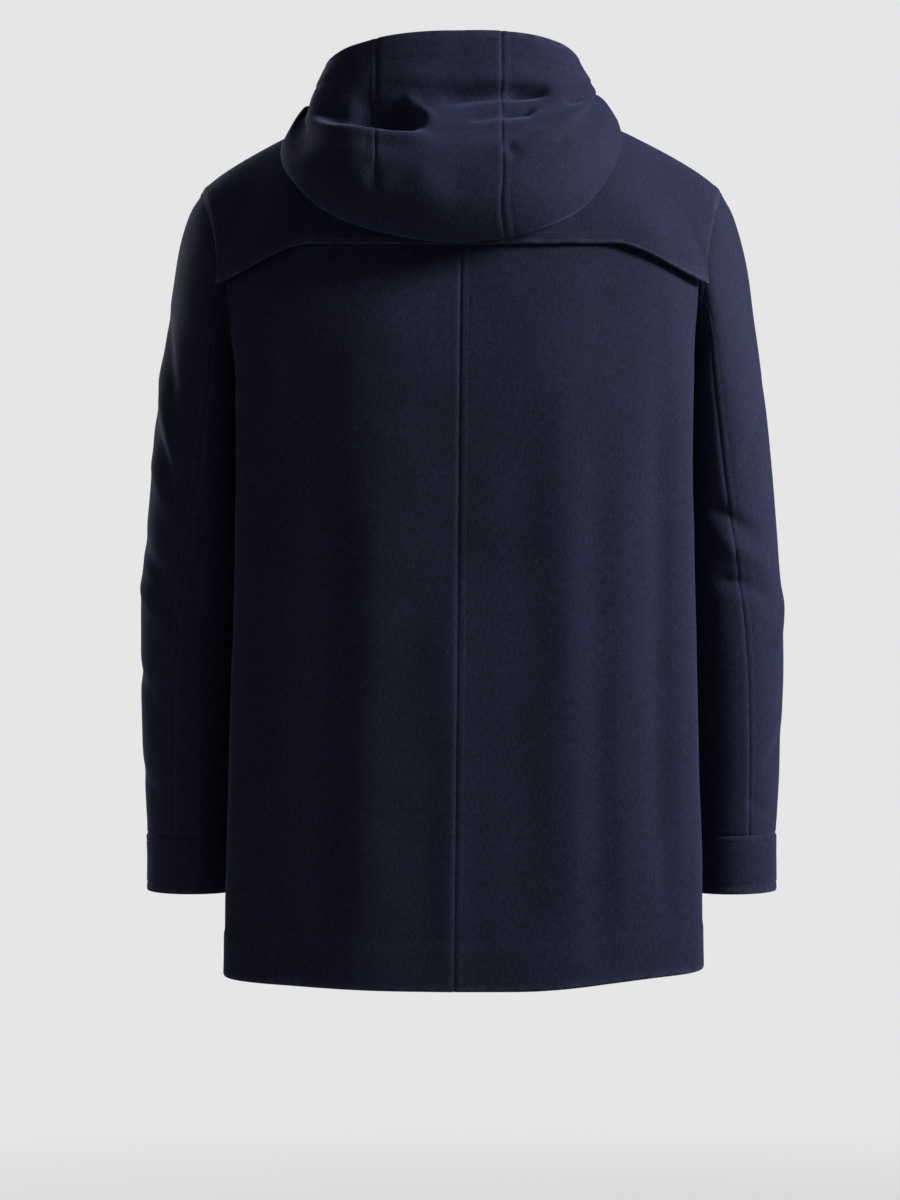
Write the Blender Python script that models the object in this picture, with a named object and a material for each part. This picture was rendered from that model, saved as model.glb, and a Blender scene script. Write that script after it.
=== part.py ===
"""A man's hooded duffle coat, worn and hollow, with its hood lying down on the back.

The frame: +Z up, -Y the wearer's front, +X the wearer's left. The origin is the middle of the neck
opening, level with the nape. The coat is drawn on two smooth sheets: the body, which runs from the hem
over the shoulders to the neckline, and the hood. Every panel is a stretch of one of these sheets, or of a
sleeve, given the cloth's thickness. All sizes are in metres.
"""

import math
from collections import namedtuple

import bpy
import numpy as np

CLOTH = 0.0026           # thickness of the wool
SEAM = 0.0004            # width left open between two sewn panels
YOKE_LIFT = 0.0050       # the yoke's middle above the middle of the panel it lies on
SLEEVE_LIFT = 0.0032     # the sleeve's start below the yoke, above the same
SLEEVE_INSET = 0.0024    # how far inside the armhole's edge the sleeve starts
HOOD_LIFT = 0.0102       # the hood's under layer above the same
RIDGE_LIFT = 0.0045              # its extra height over the shoulder's ridge
WRAP_LIFT = 0.0036       # the left front above the right front, where they wrap over
CUFF_WALL = 0.0034
CUFF_HEIGHT = 0.054

LEFT_EDGE = -0.035               # x of the left front's edge, where it lies over the right front
RIGHT_EDGE = 0.032               # x of the right front's edge, under the left front
HOOD_SHIFT = 0.010               # the hood has slipped this far to the wearer's left
HOOD_TILT = 0.035                # and hangs lower on that side, by this share of x

TOGGLE_HEIGHTS = (-0.205, -0.335, -0.465, -0.595)
TOGGLE_LENGTH = 0.050
TOGGLE_RADIUS = 0.0062
CORD_RADIUS = 0.0021
PATCH_THICK = 0.0016
PATCH_WIDE = 0.036
PATCH_TALL = 0.032
PATCH_NEAR_LEFT = 0.046          # from the centre line to the near edge of the loop's patch
PATCH_NEAR_RIGHT = 0.060         # and to the near edge of the toggle's patch

# Places round the body, as shares of a turn from the centre back towards the wearer's left.
BACK, BLADE_FLAT, BLADE_CORNER, SIDE = 0, 0.09, 0.165, 0.25
CHEST_CORNER, CHEST_FLAT, FRONT = 0.345, 0.42, 0.5

# Level rings round the body, from the hem up to the neckline. level is the share of the way up.
# Near the shoulders a ring is lower at the front and back than at the side, like a collar's.
Ring = namedtuple(
    "Ring",
    "level back_z side_z front_z back_y corner_x corner_y side_x side_y chest_x chest_y front_y",
)
RINGS = (
    Ring(0.000, -0.796, -0.782, -0.790, 0.126, 0.212, 0.088, 0.206, 0.000, 0.188, -0.084, -0.132),
    Ring(0.218, -0.620, -0.616, -0.618, 0.127, 0.209, 0.092, 0.197, 0.000, 0.185, -0.088, -0.135),
    Ring(0.454, -0.430, -0.430, -0.430, 0.128, 0.205, 0.095, 0.188, 0.000, 0.182, -0.092, -0.138),
    Ring(0.684, -0.245, -0.245, -0.250, 0.131, 0.203, 0.097, 0.184, 0.000, 0.176, -0.095, -0.140),
    Ring(0.742, -0.198, -0.198, -0.220, 0.130, 0.202, 0.097, 0.207, -0.003, 0.182, -0.092, -0.138),
    Ring(0.802, -0.150, -0.150, -0.190, 0.127, 0.199, 0.098, 0.248, -0.005, 0.192, -0.086, -0.134),
    Ring(0.889, -0.080, -0.063, -0.140, 0.118, 0.164, 0.090, 0.243, -0.003, 0.178, -0.072, -0.122),
    Ring(0.947, -0.036, -0.012, -0.098, 0.102, 0.112, 0.070, 0.162, 0.002, 0.122, -0.060, -0.108),
    Ring(1.000, 0.000, 0.018, -0.060, 0.078, 0.066, 0.042, 0.082, 0.005, 0.066, -0.044, -0.088),
)
FLAT_SHARE_BACK = 0.54   # the flat of the back ends at this share of the corner's x
FLAT_SHARE_FRONT = 0.58

BACK_SEAM_LEAN = 0.006   # the centre back seam swings this far, in turns, to the left at the hem

# The armhole is an oval on the body, given in the sheet's own two directions.
ARMHOLE_TOP = 0.889
ARMHOLE_BOTTOM = 0.684
ARMHOLE_BACK_DEPTH = 0.065
ARMHOLE_FRONT_DEPTH = 0.075

# The yoke's lower edge: level at the centre back, at the back armhole, at the front armhole and in front.
YOKE_BACK, YOKE_BACK_ARMHOLE, YOKE_FRONT_ARMHOLE, YOKE_FRONT = 0.840, 0.801, 0.842, 0.842
YOKE_DIPS_FROM = 0.118   # the back edge is level up to here, then dips to the armhole
YOKE_END_FLARE = 0.006   # how far the edge stands off where it dips
YOKE_NECK_LEVEL = 0.991  # the yoke stops just short of the neckline

# Sections down a sleeve. outer and inner are its sides away from and next to the body.
Sleeve = namedtuple("Sleeve", "along outer_x outer_z inner_x inner_z middle_y half_depth")
SLEEVE_SECTIONS = (
    Sleeve(0.10, 0.2580, -0.083, 0.1900, -0.2480, -0.003, 0.085),
    Sleeve(0.20, 0.2695, -0.128, 0.1915, -0.2525, -0.003, 0.087),
    Sleeve(0.31, 0.2785, -0.195, 0.1925, -0.2600, -0.004, 0.087),
    Sleeve(0.42, 0.2880, -0.270, 0.1940, -0.2850, -0.005, 0.085),
    Sleeve(0.54, 0.2960, -0.360, 0.1960, -0.3640, -0.008, 0.079),
    Sleeve(0.70, 0.3035, -0.470, 0.2010, -0.4700, -0.015, 0.070),
    Sleeve(0.85, 0.3035, -0.570, 0.2080, -0.5700, -0.026, 0.062),
    Sleeve(1.00, 0.2995, -0.666, 0.2135, -0.6660, -0.040, 0.054),
)
# Where the sleeve's two seams run, as turns from its outer side towards the back, at the armhole and cuff.
SleeveSeams = namedtuple("SleeveSeams", "along back front")
SEAM_PATHS = (
    SleeveSeams(0.00, 0.262, 0.66),
    SleeveSeams(0.42, 0.265, 0.66),
    SleeveSeams(0.70, 0.216, 0.65),
    SleeveSeams(1.00, 0.197, 0.64),
)

# Sections round the hood, from the centre back to the throat. body_turn and bottom_level give where its
# under layer ends on the body, belly the outermost fold's level and distance off the body, and crease and
# rim are points of the bag's upper wall and of the face opening's edge.
Hood = namedtuple(
    "Hood",
    "across neck_turn body_turn bottom_level belly_level belly_off "
    "crease_x crease_y crease_z rim_x rim_y rim_z",
)
HOOD_SECTIONS = (
    Hood(0.00, 0.000, 0.000, 0.855, 0.894, 0.066, 0.000, 0.112, 0.012, 0.000, 0.094, 0.078),
    Hood(0.16, 0.075, 0.046, 0.860, 0.898, 0.064, 0.056, 0.110, 0.012, 0.055, 0.090, 0.076),
    Hood(0.34, 0.125, 0.105, 0.880, 0.912, 0.053, 0.108, 0.092, 0.018, 0.101, 0.070, 0.067),
    Hood(0.50, 0.175, 0.162, 0.914, 0.934, 0.036, 0.130, 0.056, 0.030, 0.117, 0.034, 0.056),
    Hood(0.66, 0.240, 0.232, 0.952, 0.964, 0.027, 0.122, 0.006, 0.040, 0.108, -0.008, 0.050),
    Hood(0.82, 0.335, 0.332, 0.966, 0.972, 0.0225, 0.096, -0.060, 0.002, 0.085, -0.060, 0.024),
    Hood(1.00, 0.452, 0.450, 0.976, 0.982, 0.0210, 0.034, -0.112, -0.032, 0.030, -0.108, -0.014),
)
HOOD_RIGHT_TURN = (1, 0.98, 0.95, 0.94, 0.98, 1, 1)          # the right half is drawn in by these
HOOD_RIGHT_RISE = (0, 0.001, 0.005, 0.009, 0.008, 0.002, 0)  # and lies higher than the left by these
HOOD_STRIP = (0.19, -0.13)       # edges of the hood's middle strip, as places across it

NAVY = (0.012, 0.014, 0.038)
HORN = (0.045, 0.028, 0.018)
CORD_BLACK = (0.015, 0.015, 0.020)


def smoothstep(low, high, value):
    share = np.clip((value - low) / (high - low), 0, 1)
    return share * share * (3 - 2 * share)


def weights(keys, places):
    """How much each key's value counts at each place, on a smooth curve through all the keys."""
    keys, places = np.asarray(keys, float), np.atleast_1d(places).astype(float)
    count, step = len(keys), np.diff(keys)
    slope = np.zeros((count, count))
    for k in range(1, count - 1):
        ahead, behind = step[k], step[k - 1]
        slope[k, k + 1] = behind / ahead / (ahead + behind)
        slope[k, k - 1] = -ahead / behind / (ahead + behind)
        slope[k, k] = -slope[k, k + 1] - slope[k, k - 1]
    slope[0, :2] = -1 / step[0], 1 / step[0]
    slope[-1, -2:] = -1 / step[-1], 1 / step[-1]
    at = np.clip(np.searchsorted(keys, places, side="right") - 1, 0, count - 2)
    wide, s = step[at][:, None], ((places - keys[at]) / step[at])[:, None]
    one = np.eye(count)
    return (
        (2 * s**3 - 3 * s**2 + 1) * one[at]
        + (3 * s**2 - 2 * s**3) * one[at + 1]
        + (s**3 - 2 * s**2 + s) * wide * slope[at]
        + (s**3 - s**2) * wide * slope[at + 1]
    )


class Sheet:
    """A smooth surface through a net of points: its rows lie along, and its columns across."""

    def __init__(self, along, across, net):
        self.along, self.across, self.net = along, across, np.asarray(net, float)

    def at(self, across, along):
        across, along = np.broadcast_arrays(across, along)
        rows, columns = weights(self.along, along.ravel()), weights(self.across, across.ravel())
        points = np.einsum("kr,rcx,kc->kx", rows, self.net, columns)
        return points.reshape(*along.shape, 3)

    def normal(self, across, along, step=1e-3):
        """Unit normals, to the right of the way along when seen from outside."""
        low, high = self.along[0], self.along[-1]
        before = np.clip(np.asarray(along) - step, low, high)
        after = np.clip(np.asarray(along) + step, low, high)
        sideways = self.at(across + step, along) - self.at(across - step, along)
        upward = self.at(across, after) - self.at(across, before)
        normal = np.cross(upward, sideways)
        return normal / np.linalg.norm(normal, axis=-1, keepdims=True)

    def off(self, across, along, distance):
        """Points a distance outside the sheet."""
        distance = np.broadcast_to(distance, np.broadcast(across, along).shape)
        return self.at(across, along) + self.normal(across, along) * distance[..., None]


def ring_points(ring):
    """The seven points that a body ring passes through on the wearer's left, from the back to the front."""
    flat_back_y = ring.back_y - 0.09 * (ring.back_y - ring.corner_y)
    flat_front_y = ring.front_y - 0.13 * (ring.front_y - ring.chest_y)
    rise, fall = ring.side_z - ring.back_z, ring.front_z - ring.side_z
    return np.array([
        (0, ring.back_y, ring.back_z),
        (FLAT_SHARE_BACK * ring.corner_x, flat_back_y, ring.back_z + 0.1 * rise),
        (ring.corner_x, ring.corner_y, ring.back_z + 0.4 * rise),
        (ring.side_x, ring.side_y, ring.side_z),
        (ring.chest_x, ring.chest_y, ring.side_z + 0.6 * fall),
        (FLAT_SHARE_FRONT * ring.chest_x, flat_front_y, ring.side_z + 0.93 * fall),
        (0, ring.front_y, ring.front_z),
    ])


def mirrored(points):
    return points * np.array([-1, 1, 1])


def body_sheet():
    """The body from hem to neckline. Across goes a little past half a turn, so the fronts can wrap over."""
    turns = [BACK, BLADE_FLAT, BLADE_CORNER, SIDE, CHEST_CORNER, CHEST_FLAT, FRONT]
    past_front = [1 - CHEST_FLAT, 1 - CHEST_CORNER]
    across = [-t for t in reversed(turns[1:] + past_front)] + turns + past_front
    net = []
    for ring in RINGS:
        left = ring_points(ring)
        right = mirrored(left)
        net.append(np.vstack([left[-3:-1], right[:0:-1], left, right[-2:-4:-1]]))
    return Sheet([ring.level for ring in RINGS], across, net)


BODY = body_sheet()


def armhole_reach(level):
    """1 halfway down the armhole, and 0 above and below it."""
    middle, half = (ARMHOLE_TOP + ARMHOLE_BOTTOM) / 2, (ARMHOLE_TOP - ARMHOLE_BOTTOM) / 2
    return np.sqrt(np.clip(1 - ((level - middle) / half) ** 2, 0, 1))


def armhole_roof(turn):
    """The armhole's upper edge above a place across the body, or 0 beside the armhole."""
    middle, half = (ARMHOLE_TOP + ARMHOLE_BOTTOM) / 2, (ARMHOLE_TOP - ARMHOLE_BOTTOM) / 2
    from_side = np.abs(turn) - SIDE
    depth = np.where(from_side < 0, ARMHOLE_BACK_DEPTH, ARMHOLE_FRONT_DEPTH)
    inside = 1 - (from_side / depth) ** 2
    return np.where(inside >= 0, middle + half * np.sqrt(np.clip(inside, 0, 1)), 0)


def turn_at(x, level):
    """The places across the front, near the centre, that have these x."""
    turns = np.linspace(SIDE + 0.05, 1 - CHEST_CORNER, 240)
    levels, xs = np.broadcast_arrays(level, x)
    places = [np.interp(-b, -BODY.at(turns, a)[:, 0], turns) for a, b in zip(levels.ravel(), xs.ravel())]
    return np.array(places).reshape(levels.shape)


def wrap_lift(x, turn):
    """How far the left front is lifted where it lies on the right front."""
    return WRAP_LIFT * smoothstep(RIGHT_EDGE + 0.014, RIGHT_EDGE + 0.002, x) * (turn > SIDE)


def cloth_material(name, colour, roughness, metallic=0.0):
    material = bpy.data.materials.get(name) or bpy.data.materials.new(name)
    material.use_nodes = True
    shader = material.node_tree.nodes["Principled BSDF"]
    shader.inputs["Base Color"].default_value = (*colour, 1)
    shader.inputs["Roughness"].default_value = roughness
    shader.inputs["Metallic"].default_value = metallic
    material.diffuse_color = (*colour, 1)
    return material


def add_object(name, data, material):
    data.materials.append(material)
    piece = bpy.data.objects.new(name, data)
    bpy.context.scene.collection.objects.link(piece)
    return piece


def trimmed(points, gap, closed):
    """The same grid with its edges drawn in by a gap."""
    points = points.copy()
    borders = [(0, 0, 1), (0, -1, -2)] + ([] if closed else [(1, 0, 1), (1, -1, -2)])
    for axis, edge, inner in borders:
        rim, next_in = np.take(points, edge, axis), np.take(points, inner, axis)
        inward = next_in - rim
        inward /= np.linalg.norm(inward, axis=-1, keepdims=True)
        index = [slice(None)] * 3
        index[axis] = edge
        points[tuple(index)] = rim + inward * gap
    return points


def wall(name, points, normals, thickness, material, closed=False, gap=SEAM / 2):
    """A closed solid of a grid of points: rows run along the first axis, and closed joins the columns."""
    points = trimmed(points, gap, closed)
    rows, columns = points.shape[:2]
    outer = points + normals * thickness / 2
    inner = points - normals * thickness / 2
    vertices = np.vstack([outer.reshape(-1, 3), inner.reshape(-1, 3)])
    inner_start = rows * columns
    last = columns if closed else columns - 1
    faces = []
    for r in range(rows - 1):
        for c in range(last):
            here, beside = r * columns + c, r * columns + (c + 1) % columns
            quad = (here, beside, beside + columns, here + columns)
            faces.append(quad)
            faces.append(tuple(inner_start + k for k in reversed(quad)))
    for c in range(last):
        beside = (c + 1) % columns
        for row, flip in ((0, False), (rows - 1, True)):
            a, b = row * columns + c, row * columns + beside
            quad = (b, a, inner_start + a, inner_start + b)
            faces.append(tuple(reversed(quad)) if flip else quad)
    if not closed:
        for r in range(rows - 1):
            for column, flip in ((0, True), (columns - 1, False)):
                a, b = r * columns + column, (r + 1) * columns + column
                quad = (b, a, inner_start + a, inner_start + b)
                faces.append(tuple(reversed(quad)) if flip else quad)
    mesh = bpy.data.meshes.new(name)
    mesh.from_pydata(vertices.tolist(), [], faces)
    if signed_volume(mesh) < 0:
        mesh.flip_normals()
    mesh.shade_smooth()
    mesh.set_sharp_from_angle(angle=math.radians(50))
    return add_object(name, mesh, material)


def signed_volume(mesh):
    mesh.calc_loop_triangles()
    corners = np.array([v.co for v in mesh.vertices])
    triangles = np.array([t.vertices for t in mesh.loop_triangles])
    a, b, c = (corners[triangles[:, k]] for k in range(3))
    return float(np.einsum("ij,ij->", a, np.cross(b, c))) / 6


def half_panel_levels():
    """Levels up a front or back panel, closer together round the armhole."""
    below = np.linspace(0, ARMHOLE_BOTTOM, 5)
    beside = (ARMHOLE_TOP + ARMHOLE_BOTTOM) / 2 - (ARMHOLE_TOP - ARMHOLE_BOTTOM) / 2 * np.cos(
        np.linspace(0, math.pi, 10)
    )
    above = np.linspace(ARMHOLE_TOP, 1, 4)
    return np.concatenate([below, beside[1:], above[1:]])


def body_panel(name, side, turns, levels, lift, material):
    """A panel whose rows run from a centre edge round to the side seam, armhole and shoulder seam."""
    turns, levels = np.broadcast_arrays(side * turns, levels)
    normals = BODY.normal(turns, levels)
    points = BODY.at(turns, levels)
    if lift is not None:
        points = points + normals * lift(points[..., 0], turns)[..., None]
    return wall(name, points, normals, CLOTH, material)


def make_body(wool):
    levels = half_panel_levels()[:, None]
    reach = armhole_reach(levels)
    shares = np.linspace(0, 1, 9)[None]
    for side, word in ((1, "left"), (-1, "right")):
        centre = side * BACK_SEAM_LEAN * (1 - levels)
        back_turns = centre + shares * (SIDE - ARMHOLE_BACK_DEPTH * reach - centre)
        body_panel(f"back_{word}", side, back_turns, levels, None, wool)

    front_seam = SIDE + ARMHOLE_FRONT_DEPTH * reach
    for side, word, edge, lift in ((1, "left", LEFT_EDGE, wrap_lift), (-1, "right", -RIGHT_EDGE, None)):
        near_x = np.array([[edge, 0, RIGHT_EDGE + 0.002, RIGHT_EDGE + 0.014]])
        near_centre = turn_at(near_x, levels + 0 * near_x)
        last = near_centre[:, -1:]
        rest = last + np.linspace(0, 1, 7)[None, 1:] * (front_seam - last)
        body_panel(f"front_{word}", side, np.hstack([near_centre, rest]), levels, lift, wool)


def yoke_edge(turn):
    """The level of the yoke's lower edge, with the armholes cut out of it."""
    turn = np.abs(turn)
    dip = smoothstep(YOKE_DIPS_FROM, SIDE - ARMHOLE_BACK_DEPTH, turn)
    back = YOKE_BACK + (YOKE_BACK_ARMHOLE - YOKE_BACK) * dip
    front = YOKE_FRONT_ARMHOLE + (YOKE_FRONT - YOKE_FRONT_ARMHOLE) * smoothstep(SIDE, FRONT, turn)
    return np.maximum(np.where(turn < SIDE, back, front), armhole_roof(turn))


def armhole_meets(level, depth):
    """How far from the side the armhole is, at a level on its upper half."""
    return float(depth * armhole_reach(np.array(level)))


def make_yoke(wool):
    """One piece over both shoulders, with a free lower edge at the back and in front."""
    back_end = SIDE - armhole_meets(YOKE_BACK_ARMHOLE, ARMHOLE_BACK_DEPTH)
    front_end = SIDE + armhole_meets(YOKE_FRONT_ARMHOLE, ARMHOLE_FRONT_DEPTH)
    stretches = ((0, 0.09, 3), (0.09, 0.165, 4), (0.165, back_end, 3), (back_end, SIDE, 6))
    stretches += ((SIDE, front_end, 5), (front_end, 0.375, 3))
    half = np.append(np.concatenate([np.linspace(a, b, n, endpoint=False) for a, b, n in stretches]), 0.375)
    rows = np.linspace(0, 1, 8)[:, None]
    middle_turns = np.concatenate([-half[:0:-1], half])[None]
    edge = yoke_edge(middle_turns)
    middle_levels = edge + rows * (YOKE_NECK_LEVEL - edge)
    ends_level = YOKE_FRONT + rows * (YOKE_NECK_LEVEL - YOKE_FRONT)
    ramp_start = turn_at(RIGHT_EDGE + 0.014, ends_level)
    between = 0.375 + np.array([[0.34, 0.68]]) * (ramp_start - 0.375)
    left_end = turn_at(np.array([[RIGHT_EDGE + 0.002, 0, LEFT_EDGE]]), ends_level)
    right_end = turn_at(-LEFT_EDGE + 0.0012, ends_level)
    left_end = np.hstack([between, ramp_start, left_end])
    right_end = np.hstack([-right_end, -ramp_start, -between[:, ::-1]])
    turns = np.hstack([right_end, middle_turns + 0 * rows, left_end])
    levels = np.hstack([ends_level + 0 * right_end, middle_levels, ends_level + 0 * left_end])
    from_side = SIDE - np.abs(turns)
    near_armhole = smoothstep(0.13, SIDE - back_end, from_side) * smoothstep(0, 0.045, from_side)
    near_edge = smoothstep(0.45, 0, rows)
    normals = BODY.normal(turns, levels)
    points = BODY.at(turns, levels)
    lift = YOKE_LIFT + YOKE_END_FLARE * near_armhole * near_edge + wrap_lift(points[..., 0], turns)
    return wall("yoke", points + normals * lift[..., None], normals, CLOTH, wool)


def sleeve_sheet():
    """The left sleeve: across is turns from its outer side to the back, and along runs to the cuff."""
    turns = np.linspace(-1.25, 1.25, 51)
    angle = 2 * math.pi * turns
    from_top, to_back = np.cos(angle), np.sin(angle)
    middle, half = (ARMHOLE_TOP + ARMHOLE_BOTTOM) / 2, (ARMHOLE_TOP - ARMHOLE_BOTTOM) / 2
    depth = np.where(to_back > 0, ARMHOLE_BACK_DEPTH, ARMHOLE_FRONT_DEPTH)
    hole = SIDE - depth * to_back, middle + half * from_top
    off_body = SLEEVE_LIFT + (YOKE_LIFT - SLEEVE_LIFT) * smoothstep(0.76, 0.83, hole[1])
    inward = BODY.at(SIDE, middle) - BODY.at(*hole)
    inward /= np.linalg.norm(inward, axis=-1, keepdims=True)
    first = BODY.off(*hole, off_body) + inward * SLEEVE_INSET

    def oval(outer, inner, middle_y, half_depth):
        ring = (outer + inner) / 2 + np.outer(from_top, (outer - inner) / 2)
        ring[:, 1] = middle_y + half_depth * to_back
        return ring

    top, bottom = first[turns.size // 2], BODY.off(SIDE, ARMHOLE_BOTTOM, SLEEVE_LIFT)
    middle_y, half_depth = (first[:, 1].max() + first[:, 1].min()) / 2, np.ptp(first[:, 1]) / 2
    unevenness = first - oval(top, bottom, middle_y, half_depth)
    net = [first]
    for section in SLEEVE_SECTIONS:
        outer = np.array([section.outer_x, 0, section.outer_z])
        inner = np.array([section.inner_x, 0, section.inner_z])
        fading = 1 - smoothstep(0, 0.50, section.along)
        net.append(oval(outer, inner, section.middle_y, section.half_depth) + unevenness * fading)
    along = [0.0] + [section.along for section in SLEEVE_SECTIONS]
    return Sheet(along, turns, net)


SLEEVE = sleeve_sheet()


def seam_turn(along, which):
    keys = [path.along for path in SEAM_PATHS]
    values = np.array([getattr(path, which) for path in SEAM_PATHS])
    return weights(keys, np.ravel(along)) @ values


def make_sleeve(side, word, wool):
    """A top sleeve and an under sleeve, joined at the back and front seams, and a cuff."""
    along = np.concatenate([np.linspace(0, 0.42, 8), np.linspace(0.42, 1, 8)[1:]])
    back, front = seam_turn(along, "back"), seam_turn(along, "front")
    panels = (("sleeve_top", front - 1, back, 14), ("sleeve_under", back, front, 10))
    for panel, start, end, columns in panels:
        shares = np.linspace(0, 1, columns)[None]
        turns = start[:, None] + shares * (end - start)[:, None]
        levels = along[:, None] + 0 * turns
        points, normals = SLEEVE.at(turns, levels), SLEEVE.normal(turns, levels)
        if side < 0:
            points, normals = mirrored(points), mirrored(normals)
        wall(f"{panel}_{word}", points, normals, CLOTH, wool)
    make_cuff(side, word, wool)


def make_cuff(side, word, wool):
    """A band round the sleeve's end, in line with it."""
    turns = np.linspace(0, 1, 24, endpoint=False)[None]
    top = SLEEVE.at(turns, 1 + 0 * turns)
    normals = SLEEVE.normal(turns, 1 + 0 * turns)
    down = (top - SLEEVE.at(turns, 0.97 + 0 * turns)).mean(axis=(0, 1))
    down /= np.linalg.norm(down)
    rows = np.linspace(0, 1, 3)[:, None, None]
    points = top + down * (SEAM + rows * CUFF_HEIGHT) + normals * 0.0006
    normals = normals + 0 * points
    if side < 0:
        points, normals = mirrored(points), mirrored(normals)
    return wall(f"cuff_{word}", points, normals, CUFF_WALL, wool, closed=True)


def hood_profile(section):
    """The points down one section of the hood, from the neck seam under the bag and up to its rim."""
    turn, neck, bottom = section.body_turn, section.neck_turn, section.bottom_level
    on_wrap = WRAP_LIFT * smoothstep(0.400, 0.445, abs(turn))
    off = HOOD_LIFT + on_wrap + RIDGE_LIFT * math.exp(-(((abs(turn) - SIDE) / 0.045) ** 2))
    depth = section.belly_off - HOOD_LIFT
    seam = BODY.off(neck, 1.0, 0.0022 + on_wrap) + np.array([0, 0, 0.0010])
    roll = BODY.off(neck, 1.0, 0.0066 + on_wrap) + np.array([0, 0, 0.0056])
    over = BODY.off(neck + 0.15 * (turn - neck), 1 - 0.17 * (1 - bottom), off + 0.0010)
    under = [BODY.off(turn, 1 - share * (1 - bottom), off) for share in (0.45, 0.72, 1.0)]
    fold = BODY.off(turn, bottom - 0.26 * depth - 0.005, off + 0.42 * depth)
    lower_belly = BODY.off(turn, bottom + 0.15 * (section.belly_level - bottom), off + 0.92 * depth)
    belly = BODY.off(turn, section.belly_level, off + depth)
    crease = np.array([section.crease_x, section.crease_y, section.crease_z])
    rim = np.array([section.rim_x, section.rim_y, section.rim_z])
    upper_belly = belly + 0.55 * (crease - belly) + (belly - under[0]) * 0.10
    profile = [seam, roll, over, *under, fold, lower_belly, belly]
    profile += [upper_belly, crease, crease + 0.5 * (rim - crease), rim]
    at_back = 1 - smoothstep(0.40, 0.80, abs(section.across))
    slips = np.array([0, 0, 0, 0, 0, 0, 0.15, 0.45, 0.7, 0.9, 1, 1, 1]) * at_back
    return np.array([p + s * np.array([HOOD_SHIFT, 0, -HOOD_TILT * p[0]]) for p, s in zip(profile, slips)])


HOOD_STEPS = (0, 0.03, 0.07, 0.16, 0.26, 0.36, 0.42, 0.49, 0.57, 0.70, 0.82, 0.91, 1.0)
SIDEWAYS_FIELDS = ("across", "neck_turn", "body_turn", "crease_x", "rim_x")


def hood_sheet():
    """Across runs from 1 at the left throat, through 0 at the centre back, to -1 at the right throat."""
    left = np.array(HOOD_SECTIONS)
    right = left * np.where([field in SIDEWAYS_FIELDS for field in Hood._fields], -1, 1)
    right[:, Hood._fields.index("body_turn")] *= HOOD_RIGHT_TURN
    for field in ("bottom_level", "belly_level"):
        right[:, Hood._fields.index(field)] += HOOD_RIGHT_RISE
    table = np.vstack([right[:0:-1], left])
    across = np.linspace(-1, 1, 49)
    sections = [Hood(*row) for row in weights(table[:, 0], across) @ table]
    profiles = np.array([hood_profile(section) for section in sections])
    return Sheet(list(HOOD_STEPS), across, np.swapaxes(profiles, 0, 1))


HOOD = hood_sheet()


def make_hood(wool):
    """Two side panels and a middle strip, each running from the neck seam down, round and up to the rim."""
    steps = (0, 0.03, 0.07, 0.13, 0.21, 0.30, 0.36, 0.40, 0.44, 0.49, 0.55, 0.63, 0.72, 0.82, 0.91, 1.0)
    along = np.array(steps)[:, None]
    left_strip, right_strip = HOOD_STRIP
    panels = (("hood_left", left_strip, 1.0, 14), ("hood_middle", right_strip, left_strip, 6))
    panels += (("hood_right", -1.0, right_strip, 14),)
    for name, start, end, columns in panels:
        across = np.linspace(start, end, columns)[None] + 0 * along
        levels = along + 0 * across
        wall(name, HOOD.at(across, levels), HOOD.normal(across, levels), CLOTH, wool)


def front_place(x, z):
    """The place on the body sheet of a point on the fronts, near the centre."""
    levels = np.linspace(0, 1, 400)
    level = float(np.interp(z, BODY.at(FRONT, levels)[:, 2], levels))
    turns = np.linspace(CHEST_CORNER, 1 - CHEST_FLAT, 200)
    xs = BODY.at(turns, level)[:, 0]
    return float(np.interp(-x, -xs, turns)), level


def front_point(x, z, height):
    """A point a height above the middle of the front's cloth."""
    return BODY.off(*front_place(x, z), height)


def cord(name, route, material):
    """A round cord along a route of points."""
    curve = bpy.data.curves.new(name, "CURVE")
    curve.dimensions = "3D"
    curve.bevel_depth = CORD_RADIUS
    curve.bevel_resolution = 2
    curve.use_fill_caps = True
    spline = curve.splines.new("POLY")
    spline.points.add(len(route) - 1)
    for point, place in zip(spline.points, route):
        point.co = (*place, 1)
    return add_object(name, curve, material)


def patch(name, near_x, away, z, height, material):
    """A small flat patch sewn on a front, from its near edge away from the centre line."""
    columns, rows = 4, 3
    points = np.empty((rows, columns, 3))
    normals = np.empty((rows, columns, 3))
    for r in range(rows):
        for c in range(columns):
            x = near_x + away * PATCH_WIDE * c / (columns - 1)
            place = front_place(x, z + PATCH_TALL * (r / (rows - 1) - 0.5))
            points[r, c] = BODY.off(*place, height)
            normals[r, c] = BODY.normal(*place)
    return wall(name, points, normals, PATCH_THICK, material)


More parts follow.
